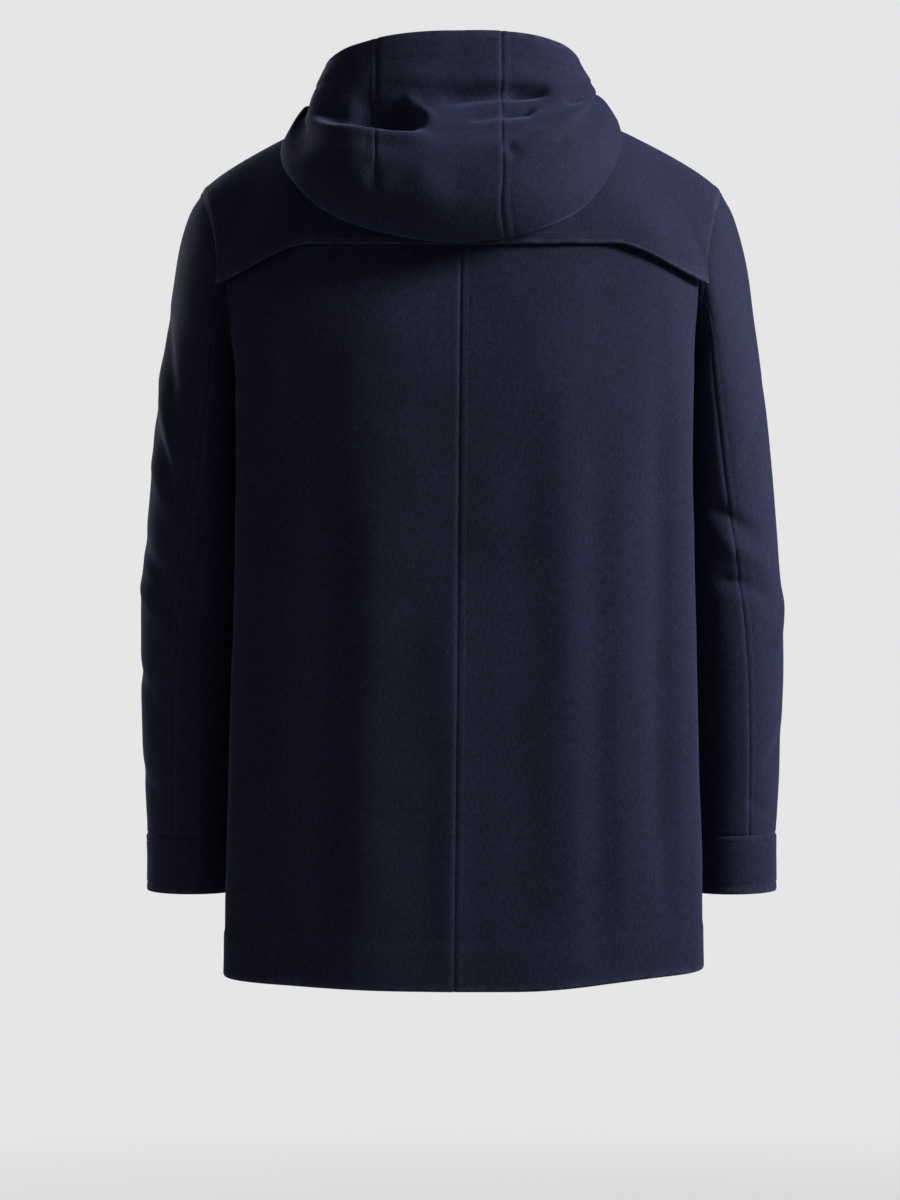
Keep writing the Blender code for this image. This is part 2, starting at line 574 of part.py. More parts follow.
def toggle(name, x, z, height, material):
    """A horn peg standing across the loop: a turned shape that thins to both ends."""
    rings, sides = 8, 8
    base, top = front_point(x, z - TOGGLE_LENGTH / 2, height), front_point(x, z + TOGGLE_LENGTH / 2, height)
    axis = top - base
    outward = BODY.normal(*front_place(x, z))
    beside = np.cross(axis / np.linalg.norm(axis), outward)
    vertices, faces = [], []
    for r in range(rings):
        share = 0.5 - 0.5 * math.cos(math.pi * (r + 0.35) / (rings - 0.3))
        radius = TOGGLE_RADIUS * (1 - 0.62 * abs(2 * share - 1) ** 2.4)
        bow = 0.0016 * (1 - (2 * share - 1) ** 2)
        for s in range(sides):
            angle = 2 * math.pi * s / sides
            spoke = outward * math.cos(angle) + beside * math.sin(angle)
            vertices.append(base + axis * share + spoke * radius + outward * (bow - 0.0010))
    for r in range(rings - 1):
        for s in range(sides):
            here, beside_it = r * sides + s, r * sides + (s + 1) % sides
            faces.append((here, beside_it, beside_it + sides, here + sides))
    faces.append(tuple(range(sides))[::-1])
    faces.append(tuple((rings - 1) * sides + s for s in range(sides)))
    mesh = bpy.data.meshes.new(name)
    mesh.from_pydata([tuple(v) for v in vertices], [], faces)
    if signed_volume(mesh) < 0:
        mesh.flip_normals()
    mesh.shade_smooth()
    mesh.set_sharp_from_angle(angle=math.radians(50))
    return add_object(name, mesh, material)


def make_fastening(number, z, horn, black, wool):
    """A toggle on a short cord from the right front, in a cord loop from the left front."""
    right_face, left_face = CLOTH / 2, WRAP_LIFT + CLOTH / 2
    patch_off = 0.0004 + PATCH_THICK / 2
    low = left_face + 0.0005 + CORD_RADIUS
    patch(f"loop_patch_{number}", PATCH_NEAR_LEFT, 1, z, left_face + patch_off, wool)
    patch(f"toggle_patch_{number}", -PATCH_NEAR_RIGHT, -1, z, right_face + patch_off, wool)

    half_gap, turn_x = 0.0085, -0.010
    bend = [(turn_x - half_gap * math.sin(a), half_gap * math.cos(a)) for a in np.linspace(0, math.pi, 9)]
    straight = [(x, half_gap) for x in np.linspace(PATCH_NEAR_LEFT - 0.0006, turn_x, 6)[:-1]]
    back = [(x, -half_gap) for x, _ in reversed(straight)]
    loop = [front_point(x, z + dz, low) for x, dz in straight + bend + back]
    cord(f"loop_cord_{number}", loop, black)

    over = low + 2 * CORD_RADIUS + 0.0006
    peg = low + CORD_RADIUS + 0.0006 + TOGGLE_RADIUS
    rests = right_face + 0.0005 + CORD_RADIUS
    heights = ((-PATCH_NEAR_RIGHT + 0.0006, rests), (-0.049, rests), (-0.043, rests + 0.0012))
    heights += ((-0.037, low + 0.0008), (-0.028, low + 0.0022), (-0.0205, over), (-0.013, over + 0.0012))
    heights += ((-0.0074 - CORD_RADIUS, peg - 0.0006),)
    cord(f"toggle_cord_{number}", [front_point(x, z, height) for x, height in heights], black)
    toggle(f"toggle_{number}", 0, z, peg, horn)


def main():
    for old in list(bpy.data.objects):
        bpy.data.objects.remove(old)
    wool = cloth_material("navy_wool", NAVY, 0.92)
    horn = cloth_material("dark_horn", HORN, 0.35)
    black = cloth_material("black_cord", CORD_BLACK, 0.75)
    make_body(wool)
    make_yoke(wool)
    for side, word in ((1, "left"), (-1, "right")):
        make_sleeve(side, word, wool)
    make_hood(wool)
    for number, z in enumerate(TOGGLE_HEIGHTS, start=1):
        make_fastening(number, z, horn, black, wool)


main()
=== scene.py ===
"""The looks of a hooded duffle coat in brushed navy wool, worn and hollow, with its hood down on the back.

+Z is up, -Y the wearer's front and +X the wearer's left. All sizes are in metres. Every wool panel is a
stretch of a smooth sheet (the body, a sleeve or the hood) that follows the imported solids, with the coat's
folds laid on it, its seams drawn in and its thickness given to it.
"""

import math
from collections import namedtuple

import bmesh
import bpy
import numpy as np
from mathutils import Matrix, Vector


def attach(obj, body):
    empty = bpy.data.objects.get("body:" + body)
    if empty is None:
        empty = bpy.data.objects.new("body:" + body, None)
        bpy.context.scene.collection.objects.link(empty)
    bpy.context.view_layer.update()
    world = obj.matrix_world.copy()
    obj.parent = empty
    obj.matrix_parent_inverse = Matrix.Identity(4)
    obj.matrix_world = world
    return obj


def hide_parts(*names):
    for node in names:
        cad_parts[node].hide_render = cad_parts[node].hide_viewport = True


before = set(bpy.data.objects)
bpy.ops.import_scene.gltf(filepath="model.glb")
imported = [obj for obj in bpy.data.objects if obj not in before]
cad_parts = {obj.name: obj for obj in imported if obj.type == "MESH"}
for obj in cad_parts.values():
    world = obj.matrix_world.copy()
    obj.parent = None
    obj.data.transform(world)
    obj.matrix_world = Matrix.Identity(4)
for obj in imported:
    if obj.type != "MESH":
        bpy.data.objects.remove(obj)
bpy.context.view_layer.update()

# ---------------------------------------------------------------- sizes

CLOTH = 0.0026           # thickness of the wool
SEAM_GAP = 0.0003        # between two sewn panels
YOKE_LIFT = 0.0050       # the yoke's middle above the middle of the panel it lies on
SLEEVE_LIFT = 0.0032     # the sleeve's start below the yoke, above the same
SLEEVE_INSET = 0.0024    # how far inside the armhole's edge the sleeve starts
HOOD_LIFT = 0.0102       # the hood's under layer above the same
RIDGE_LIFT = 0.0045      # its extra height over the shoulder's ridge
WRAP_LIFT = 0.0036       # the left front above the right front, where they wrap over
CUFF_HEIGHT = 0.054
CUFF_THICK = 0.0036
LEFT_EDGE = -0.035       # x of the left front's edge, where it lies over the right front
RIGHT_EDGE = 0.032       # x of the right front's edge, under the left front
HOOD_SHIFT = 0.010       # the hood has slipped this far to the wearer's left
HOOD_TILT = 0.035        # and hangs lower on that side, by this share of x

SEAM_DEPTH = 0.0009      # how far the wool is drawn in at a seam
SEAM_REACH = 0.0014      # and how far that reaches
RIDGE_HEIGHT = 0.0002    # the soft ridge beside a seam
RIDGE_AWAY = 0.0045      # its distance from the seam
RIDGE_WIDTH = 0.0025
HEM_STEP = 0.0016        # half the width over which a hem's extra thickness ends

ARMHOLE_ALLOWANCE = 0.0070   # the sleeve's seam allowance, turned in through the armhole
HEM_RISE_RIGHT = 0.007   # the hem hangs this much higher at the wearer's right side
BACK_ROUND = 0.014       # fullness of the cloth over the back, between its side edges
BACK_CREST = -0.042      # and the x where it is fullest

GRID_STEP = 0.0042       # spacing of the points on the wool
STITCH_PITCH = 0.0034
STITCH_LENGTH = 0.80 * STITCH_PITCH
STITCH_THICK = 0.00055

TOGGLE_HEIGHTS = (-0.205, -0.335, -0.465, -0.595)
TOGGLE_LENGTH = 0.050
TOGGLE_RADIUS = 0.0062
CORD_RADIUS = 0.0021
CORD_LAY = 0.011         # a strand's full turn round the cord
PATCH_THICK = 0.0016
PATCH_WIDE = 0.036
PATCH_TALL = 0.032
PATCH_NEAR_LEFT = 0.046      # from the centre line to the near edge of the loop's patch
PATCH_NEAR_RIGHT = 0.060     # and to the near edge of the toggle's patch
PATCH_STITCH_AWAY = 0.0028   # the patch's stitches, in from its edges

# ---------------------------------------------------------------- tables of the cut

# Places round the body, as shares of a turn from the centre back towards the wearer's left.
BACK, BLADE_FLAT, BLADE_CORNER, SIDE, CHEST_CORNER, CHEST_FLAT, FRONT = 0, 0.09, 0.165, 0.25, 0.345, 0.42, 0.5

Ring = namedtuple(
    "Ring",
    "level back_z side_z front_z back_y corner_x corner_y side_x side_y chest_x chest_y front_y",
)
RINGS = (
    Ring(0.000, -0.796, -0.782, -0.790, 0.126, 0.212, 0.088, 0.206, 0.000, 0.188, -0.084, -0.132),
    Ring(0.218, -0.620, -0.616, -0.618, 0.127, 0.209, 0.092, 0.197, 0.000, 0.185, -0.088, -0.135),
    Ring(0.454, -0.430, -0.430, -0.430, 0.128, 0.205, 0.095, 0.188, 0.000, 0.182, -0.092, -0.138),
    Ring(0.684, -0.245, -0.245, -0.250, 0.131, 0.203, 0.097, 0.184, 0.000, 0.176, -0.095, -0.140),
    Ring(0.742, -0.198, -0.198, -0.220, 0.130, 0.202, 0.097, 0.207, -0.003, 0.182, -0.092, -0.138),
    Ring(0.802, -0.150, -0.150, -0.190, 0.127, 0.199, 0.098, 0.248, -0.005, 0.192, -0.086, -0.134),
    Ring(0.889, -0.080, -0.063, -0.140, 0.118, 0.164, 0.090, 0.243, -0.003, 0.178, -0.072, -0.122),
    Ring(0.947, -0.036, -0.012, -0.098, 0.102, 0.112, 0.070, 0.162, 0.002, 0.122, -0.060, -0.108),
    Ring(1.000, 0.000, 0.018, -0.060, 0.078, 0.066, 0.042, 0.082, 0.005, 0.066, -0.044, -0.088),
)
FLAT_SHARE_BACK = 0.54   # the flat of the back ends at this share of the corner's x
FLAT_SHARE_FRONT = 0.58
BACK_SEAM_LEAN = 0.006   # the centre back seam swings this far, in turns, to the left at the hem

ARMHOLE_TOP = 0.889
ARMHOLE_BOTTOM = 0.684
ARMHOLE_MIDDLE = (ARMHOLE_TOP + ARMHOLE_BOTTOM) / 2
ARMHOLE_HALF = (ARMHOLE_TOP - ARMHOLE_BOTTOM) / 2
ARMHOLE_BACK_DEPTH = 0.065
ARMHOLE_FRONT_DEPTH = 0.075

YOKE_BACK, YOKE_BACK_ARMHOLE, YOKE_FRONT_ARMHOLE, YOKE_FRONT = 0.840, 0.801, 0.842, 0.842
YOKE_DIPS_FROM = 0.118
YOKE_END_FLARE = 0.006
YOKE_NECK_LEVEL = 0.991
YOKE_CHEST = 0.375       # from here to the fronts' edges the yoke's columns lean with those edges

Sleeve = namedtuple("Sleeve", "along outer_x outer_z inner_x inner_z middle_y half_depth")
SLEEVE_SECTIONS = (
    Sleeve(0.10, 0.2580, -0.083, 0.1900, -0.2480, -0.003, 0.085),
    Sleeve(0.20, 0.2695, -0.128, 0.1915, -0.2525, -0.003, 0.087),
    Sleeve(0.31, 0.2785, -0.195, 0.1925, -0.2600, -0.004, 0.087),
    Sleeve(0.42, 0.2880, -0.270, 0.1940, -0.2850, -0.005, 0.085),
    Sleeve(0.54, 0.2960, -0.360, 0.1960, -0.3640, -0.008, 0.079),
    Sleeve(0.70, 0.3035, -0.470, 0.2010, -0.4700, -0.015, 0.070),
    Sleeve(0.85, 0.3035, -0.570, 0.2080, -0.5700, -0.026, 0.062),
    Sleeve(1.00, 0.2995, -0.666, 0.2135, -0.6660, -0.040, 0.054),
)
SleeveSeams = namedtuple("SleeveSeams", "along back front")
SEAM_PATHS = (
    SleeveSeams(0.00, 0.262, 0.66),
    SleeveSeams(0.42, 0.265, 0.66),
    SleeveSeams(0.70, 0.216, 0.65),
    SleeveSeams(1.00, 0.197, 0.64),
)

Hood = namedtuple(
    "Hood",
    "across neck_turn body_turn bottom_level belly_level belly_off "
    "crease_x crease_y crease_z rim_x rim_y rim_z",
)
HOOD_SECTIONS = (
    Hood(0.00, 0.000, 0.000, 0.855, 0.894, 0.066, 0.000, 0.112, 0.012, 0.000, 0.094, 0.078),
    Hood(0.16, 0.075, 0.046, 0.860, 0.898, 0.064, 0.056, 0.110, 0.012, 0.055, 0.090, 0.076),
    Hood(0.34, 0.125, 0.105, 0.880, 0.912, 0.053, 0.108, 0.092, 0.018, 0.101, 0.070, 0.067),
    Hood(0.50, 0.175, 0.162, 0.914, 0.934, 0.036, 0.130, 0.056, 0.030, 0.117, 0.034, 0.056),
    Hood(0.66, 0.240, 0.232, 0.952, 0.964, 0.027, 0.122, 0.006, 0.040, 0.108, -0.008, 0.050),
    Hood(0.82, 0.335, 0.332, 0.966, 0.972, 0.0225, 0.096, -0.060, 0.002, 0.085, -0.060, 0.024),
    Hood(1.00, 0.452, 0.450, 0.976, 0.982, 0.0210, 0.034, -0.112, -0.032, 0.030, -0.108, -0.014),
)
HOOD_RIGHT_TURN = (1, 0.98, 0.95, 0.94, 0.98, 1, 1)          # the right half is drawn in by these
HOOD_RIGHT_RISE = (0, 0.001, 0.005, 0.009, 0.008, 0.002, 0)  # and lies higher than the left by these
HOOD_DROOP = 0.016       # the bag's full left corner hangs down by this
Slope = namedtuple("Slope", "height left_x right_x")
HOOD_SLOPE = (           # how far out the hood's left and right sides come at a height
    Slope(-0.0600, 0.1900, -0.1900),
    Slope(-0.0335, 0.1700, -0.1520),
    Slope(-0.0214, 0.1660, -0.1490),
    Slope(-0.0092, 0.1590, -0.1470),
    Slope(0.0000, 0.1540, -0.1440),
    Slope(0.0135, 0.1440, -0.1350),
    Slope(0.0350, 0.1380, -0.1210),
    Slope(0.0575, 0.1320, -0.1150),
)
HOOD_HOLD = 0.0025       # how softly they are held there
SHOULDER_SLOPE = 0.45    # the layer that lies on the shoulder climbs by this as it is pulled in
HOOD_STRIP = (0.19, -0.13)                        # edges of the hood's middle strip, as places across it
HOOD_SEAM_X = dict(zip(HOOD_STRIP, (0.078, -0.036)))   # the x they keep on the outside of the bag
HOOD_STEPS = (0, 0.03, 0.07, 0.16, 0.26, 0.36, 0.42, 0.49, 0.57, 0.70, 0.82, 0.91, 1.0)
SIDEWAYS_FIELDS = ("across", "neck_turn", "body_turn", "crease_x", "rim_x")

# ---------------------------------------------------------------- folds

# A fold is a soft ridge, or a trough where its height is below 0. It runs from one place to another, bows
# to its left by bow, and is blunter on one side where lean isn't 0.
Fold = namedtuple("Fold", "from_a from_b to_a to_b width height bow lean", defaults=(0, 0))

BACK_FOLDS = (      # a is x and b is z
    Fold(-0.060, -0.190, -0.056, -0.820, 0.020, -0.0016, 0.004),
    Fold(-0.088, -0.210, -0.100, -0.840, 0.020, 0.0026, -0.006),
    Fold(-0.118, -0.300, -0.122, -0.820, 0.014, -0.0018, 0.004),
    Fold(-0.145, -0.250, -0.150, -0.840, 0.015, 0.0026, 0.003),
    Fold(-0.178, -0.180, -0.182, -0.790, 0.011, -0.0052, 0.003, -0.2),
    Fold(0.010, -0.380, 0.014, -0.850, 0.023, 0.0036, 0.003),
    Fold(0.074, -0.240, 0.080, -0.820, 0.022, 0.0014, 0.005),
    Fold(0.112, -0.300, 0.128, -0.820, 0.018, -0.0022, -0.004),
    Fold(0.150, -0.210, 0.160, -0.780, 0.016, 0.0020, 0.004),
    Fold(0.020, -0.500, 0.030, -0.820, 0.014, -0.0012, 0.002),
    Fold(-0.166, -0.680, -0.180, -0.742, 0.005, 0.0016, 0.002),
)
FRONT_FOLDS = (     # a is x and b is z, and the fronts bulge towards -Y
    Fold(0.075, -0.280, 0.090, -0.820, 0.022, 0.0040, 0.005),
    Fold(0.125, -0.330, 0.140, -0.820, 0.018, -0.0036, -0.004, 0.3),
    Fold(-0.080, -0.300, -0.096, -0.820, 0.022, 0.0038, 0.004),
    Fold(-0.130, -0.260, -0.140, -0.820, 0.017, -0.0034, 0.003, 0.2),
    Fold(0.160, -0.190, 0.090, -0.300, 0.015, -0.0030, 0.010, 0.2),
    Fold(-0.160, -0.195, -0.085, -0.310, 0.015, -0.0030, -0.010, 0.2),
)
SLEEVE_FOLDS = {
    "left": (       # a is the distance round the arm from its outer side towards the back, b is z
        Fold(-0.010, -0.165, 0.085, -0.275, 0.009, -0.0034, 0.006, 0.3),
        Fold(0.000, -0.205, 0.100, -0.330, 0.010, 0.0028, 0.004),
        Fold(-0.010, -0.255, 0.095, -0.345, 0.009, -0.0036, 0.006, 0.3),
        Fold(0.010, -0.300, 0.115, -0.385, 0.010, 0.0028, 0.004),
        Fold(-0.010, -0.380, 0.095, -0.440, 0.009, -0.0034, 0.005, 0.3),
        Fold(0.000, -0.420, 0.110, -0.480, 0.009, 0.0026, 0.003),
        Fold(-0.020, -0.500, 0.080, -0.545, 0.009, -0.0024, 0.003),
        Fold(-0.010, -0.600, 0.080, -0.632, 0.008, -0.0020, 0.002),
    ),
    "right": (
        Fold(0.135, -0.090, 0.128, -0.175, 0.007, -0.0060, 0.004, -0.3),
        Fold(0.000, -0.230, 0.110, -0.330, 0.011, -0.0026, 0.006, 0.3),
        Fold(0.160, -0.345, 0.070, -0.385, 0.009, -0.0036, 0.003, 0.3),
        Fold(0.150, -0.385, 0.050, -0.412, 0.009, 0.0034, 0.003),
        Fold(0.160, -0.420, 0.040, -0.446, 0.008, -0.0036, -0.004, 0.3),
        Fold(-0.010, -0.430, 0.060, -0.500, 0.011, 0.0022, 0.004),
        Fold(0.000, -0.560, 0.080, -0.610, 0.009, -0.0022, 0.003),
        Fold(0.110, -0.628, 0.020, -0.652, 0.006, -0.0022, 0.002),
    ),
}
YOKE_FOLDS = (      # a is x and b is z
    Fold(-0.190, -0.115, -0.130, -0.135, 0.014, 0.0020, 0.004),
    Fold(0.200, -0.115, 0.140, -0.140, 0.014, 0.0020, -0.004),
)
HOOD_FOLDS = (      # a is x and b is z, on the hood's outer layer
    Fold(0.148, 0.009, 0.022, -0.009, 0.0090, -0.0115, 0.003, 0.25),
    Fold(0.104, 0.007, 0.028, -0.004, 0.0115, -0.0120, 0.002),
    Fold(0.136, -0.006, 0.012, -0.033, 0.0070, 0.0060, 0.005),
    Fold(0.054, 0.019, 0.023, -0.014, 0.0052, 0.0065, -0.001, 0.3),
    Fold(0.030, 0.012, -0.086, 0.024, 0.0065, -0.0095, -0.003, 0.25),
    Fold(-0.036, 0.0215, -0.084, 0.0240, 0.0055, -0.0070, 0.000),
    Fold(0.086, 0.033, -0.112, 0.036, 0.0075, 0.0042, 0.002),
    Fold(-0.030, -0.002, -0.070, 0.004, 0.0048, -0.0060, 0.001, 0.3),
    Fold(-0.002, -0.010, -0.040, -0.003, 0.0042, -0.0026, 0.000),
    Fold(-0.038, -0.033, -0.053, -0.049, 0.0048, -0.0034, 0.001),
    Fold(-0.090, 0.013, -0.128, 0.025, 0.0050, -0.0046, 0.001),
    Fold(0.078, -0.048, 0.079, -0.088, 0.0060, -0.0022, 0.001),
    Fold(-0.100, -0.020, -0.120, -0.070, 0.0120, 0.0026, 0.004),
    Fold(0.045, -0.050, 0.010, -0.098, 0.0140, 0.0030, 0.004),
    Fold(0.120, -0.040, 0.105, -0.080, 0.0110, -0.0024, 0.003),
)

# ---------------------------------------------------------------- rows of stitches

# Each row runs along one edge of a panel, a distance in from it, and draws the wool in.
StitchRow = namedtuple("StitchRow", "panel edge distance depth reach", defaults=(0.0006, 0.0013))
STITCH_ROWS = {
    "body_stitches": (
        StitchRow("back_right", "first_column", 0.0062, 0.0005),
        StitchRow("front_left", "first_column", 0.0070),
        StitchRow("front_right", "first_column", 0.0070),
    ),
    "yoke_stitches": (
        StitchRow("yoke", "first_row", 0.0022, 0.0005),
        StitchRow("yoke", "first_row", 0.0088, 0.0005),
    ),
    "sleeve_stitches": (
        StitchRow("sleeve_top_left", "last_column", 0.0058, 0.0005),
        StitchRow("sleeve_top_right", "last_column", 0.0058, 0.0005),
    ),
    "cuff_stitches": (
        StitchRow("cuff_left", "first_row", 0.0055),
        StitchRow("cuff_left", "last_row", 0.0065),
        StitchRow("cuff_right", "first_row", 0.0055),
        StitchRow("cuff_right", "last_row", 0.0065),
    ),
    "hood_stitches": (
        StitchRow("hood_left", "last_row", 0.0035),
        StitchRow("hood_left", "last_row", 0.0260, 0.0013, 0.0018),
        StitchRow("hood_middle", "last_row", 0.0035),
        StitchRow("hood_middle", "last_row", 0.0260, 0.0013, 0.0018),
        StitchRow("hood_right", "last_row", 0.0035),
        StitchRow("hood_right", "last_row", 0.0260, 0.0013, 0.0018),
        StitchRow("hood_left", "first_column", 0.0070, 0.0005),
        StitchRow("hood_right", "last_column", 0.0070, 0.0005),
    ),
}


# ---------------------------------------------------------------- smooth sheets

def smoothstep(low, high, value):
    share = np.clip((value - low) / (high - low), 0, 1)
    return share * share * (3 - 2 * share)


def weights(keys, places):
    """How much each key's value counts at each place, on a smooth curve through all the keys."""
    keys, places = np.asarray(keys, float), np.atleast_1d(places).astype(float)
    count, step = len(keys), np.diff(keys)
    slope = np.zeros((count, count))
    for k in range(1, count - 1):
        ahead, behind = step[k], step[k - 1]
        slope[k, k + 1] = behind / ahead / (ahead + behind)
        slope[k, k - 1] = -ahead / behind / (ahead + behind)
        slope[k, k] = -slope[k, k + 1] - slope[k, k - 1]
    slope[0, :2] = -1 / step[0], 1 / step[0]
    slope[-1, -2:] = -1 / step[-1], 1 / step[-1]
    at = np.clip(np.searchsorted(keys, places, side="right") - 1, 0, count - 2)
    wide, s = step[at][:, None], ((places - keys[at]) / step[at])[:, None]
    one = np.eye(count)
    return (
        (2 * s**3 - 3 * s**2 + 1) * one[at]
        + (3 * s**2 - 2 * s**3) * one[at + 1]
        + (s**3 - 2 * s**2 + s) * wide * slope[at]
        + (s**3 - s**2) * wide * slope[at + 1]
    )


class Sheet:
    """A smooth surface through a net of points: its rows lie along, and its columns across."""

    def __init__(self, along, across, net):
        self.along, self.across, self.net = along, across, np.asarray(net, float)

    def at(self, across, along):
        across, along = np.broadcast_arrays(across, along)
        rows, columns = weights(self.along, along.ravel()), weights(self.across, across.ravel())
        mixed = np.tensordot(rows, self.net, 1)
        return np.einsum("kcx,kc->kx", mixed, columns).reshape(*along.shape, 3)

    def normal(self, across, along, step=1e-3):
        along, low, high = np.asarray(along), self.along[0], self.along[-1]
        before, after = np.clip(along - step, low, high), np.clip(along + step, low, high)
        sideways = self.at(across + step, along) - self.at(across - step, along)
        upward = self.at(across, after) - self.at(across, before)
        return unit(np.cross(upward, sideways))

    def off(self, across, along, distance):
        distance = np.broadcast_to(distance, np.broadcast(across, along).shape)
        return self.at(across, along) + self.normal(across, along) * distance[..., None]


def unit(vectors):
    return vectors / np.maximum(np.linalg.norm(vectors, axis=-1, keepdims=True), 1e-12)


def mirrored(points):
    return points * np.array([-1, 1, 1])


def ring_points(ring):
    """The seven points that a body ring passes through on the wearer's left, from the back to the front."""
    flat_back_y = ring.back_y - 0.09 * (ring.back_y - ring.corner_y)
    flat_front_y = ring.front_y - 0.13 * (ring.front_y - ring.chest_y)
    rise, fall = ring.side_z - ring.back_z, ring.front_z - ring.side_z
    return np.array([
        (0, ring.back_y, ring.back_z),
        (FLAT_SHARE_BACK * ring.corner_x, flat_back_y, ring.back_z + 0.1 * rise),
        (ring.corner_x, ring.corner_y, ring.back_z + 0.4 * rise),
        (ring.side_x, ring.side_y, ring.side_z),
        (ring.chest_x, ring.chest_y, ring.side_z + 0.6 * fall),
        (FLAT_SHARE_FRONT * ring.chest_x, flat_front_y, ring.side_z + 0.93 * fall),
        (0, ring.front_y, ring.front_z),
    ])


def body_sheet():
    turns = [BACK, BLADE_FLAT, BLADE_CORNER, SIDE, CHEST_CORNER, CHEST_FLAT, FRONT]
    past_front = [1 - CHEST_FLAT, 1 - CHEST_CORNER]
    across = [-t for t in reversed(turns[1:] + past_front)] + turns + past_front
    net = []
    for ring in RINGS:
        left = ring_points(ring)
        right = mirrored(left)
        net.append(np.vstack([left[-3:-1], right[:0:-1], left, right[-2:-4:-1]]))
    return Sheet([ring.level for ring in RINGS], across, net)


BODY = body_sheet()


def armhole_reach(level):
    """How wide the armhole is at a level, as a share of its widest."""
    return np.sqrt(np.clip(1 - ((level - ARMHOLE_MIDDLE) / ARMHOLE_HALF) ** 2, 0, 1))


def armhole_roof(turn):
    """The level of the armhole's upper edge, and 0 beside the armhole."""
    from_side = np.abs(turn) - SIDE
    depth = np.where(from_side < 0, ARMHOLE_BACK_DEPTH, ARMHOLE_FRONT_DEPTH)
    inside = 1 - (from_side / depth) ** 2
    return np.where(inside >= 0, ARMHOLE_MIDDLE + ARMHOLE_HALF * np.sqrt(np.clip(inside, 0, 1)), 0)


def armhole_place(turns):
    """The places on the body round the armhole's edge, at these turns round the sleeve."""
    angle = 2 * math.pi * turns
    depth = np.where(np.sin(angle) > 0, ARMHOLE_BACK_DEPTH, ARMHOLE_FRONT_DEPTH)
    return SIDE - depth * np.sin(angle), ARMHOLE_MIDDLE + ARMHOLE_HALF * np.cos(angle)


def turn_at(x, level):
    """The places across the front, near the centre, that have these x."""
    turns = np.linspace(SIDE + 0.05, 1 - CHEST_CORNER, 240)
    levels, xs = np.broadcast_arrays(level, x)
    places = [np.interp(-b, -BODY.at(turns, a)[:, 0], turns) for a, b in zip(levels.ravel(), xs.ravel())]
    return np.array(places).reshape(levels.shape)


def wrap_lift(x, turn):
    """How far the left front is lifted where it lies on the right front."""
    return WRAP_LIFT * smoothstep(RIGHT_EDGE + 0.014, RIGHT_EDGE + 0.002, x) * (turn > SIDE)


def yoke_edge(turn):
    """The level of the yoke's free lower edge, or of the armhole where it meets the sleeve."""
    turn = np.abs(turn)
    dip = smoothstep(YOKE_DIPS_FROM, SIDE - ARMHOLE_BACK_DEPTH, turn)
    back = YOKE_BACK + (YOKE_BACK_ARMHOLE - YOKE_BACK) * dip
    front = YOKE_FRONT_ARMHOLE + (YOKE_FRONT - YOKE_FRONT_ARMHOLE) * smoothstep(SIDE, FRONT, turn)
    return np.maximum(np.where(turn < SIDE, back, front), armhole_roof(turn))


def sleeve_sheet():
    """The left sleeve. Across is turns from its outer side towards the back, and along runs to the cuff."""
    turns = np.linspace(-1.25, 1.25, 51)
    angle = 2 * math.pi * turns
    from_top, to_back = np.cos(angle), np.sin(angle)
    hole = armhole_place(turns)
    off_body = SLEEVE_LIFT + (YOKE_LIFT - SLEEVE_LIFT) * smoothstep(0.76, 0.83, hole[1])
    inward = unit(BODY.at(SIDE, ARMHOLE_MIDDLE) - BODY.at(*hole))
    first = BODY.off(*hole, off_body) + inward * SLEEVE_INSET

    def oval(outer, inner, middle_y, half_depth):
        ring = (outer + inner) / 2 + np.outer(from_top, (outer - inner) / 2)
        ring[:, 1] = middle_y + half_depth * to_back
        return ring

    top, bottom = first[turns.size // 2], BODY.off(SIDE, ARMHOLE_BOTTOM, SLEEVE_LIFT)
    middle_y, half_depth = (first[:, 1].max() + first[:, 1].min()) / 2, np.ptp(first[:, 1]) / 2
    unevenness = first - oval(top, bottom, middle_y, half_depth)
    net = [first]
    for section in SLEEVE_SECTIONS:
        outer = np.array([section.outer_x, 0, section.outer_z])
        inner = np.array([section.inner_x, 0, section.inner_z])
        fading = 1 - smoothstep(0, 0.50, section.along)
        net.append(oval(outer, inner, section.middle_y, section.half_depth) + unevenness * fading)
    return Sheet([0.0] + [section.along for section in SLEEVE_SECTIONS], turns, net)


SLEEVE = sleeve_sheet()


def seam_turn(along, which):
    keys = [path.along for path in SEAM_PATHS]
    values = np.array([getattr(path, which) for path in SEAM_PATHS])
    return weights(keys, np.ravel(along)) @ values


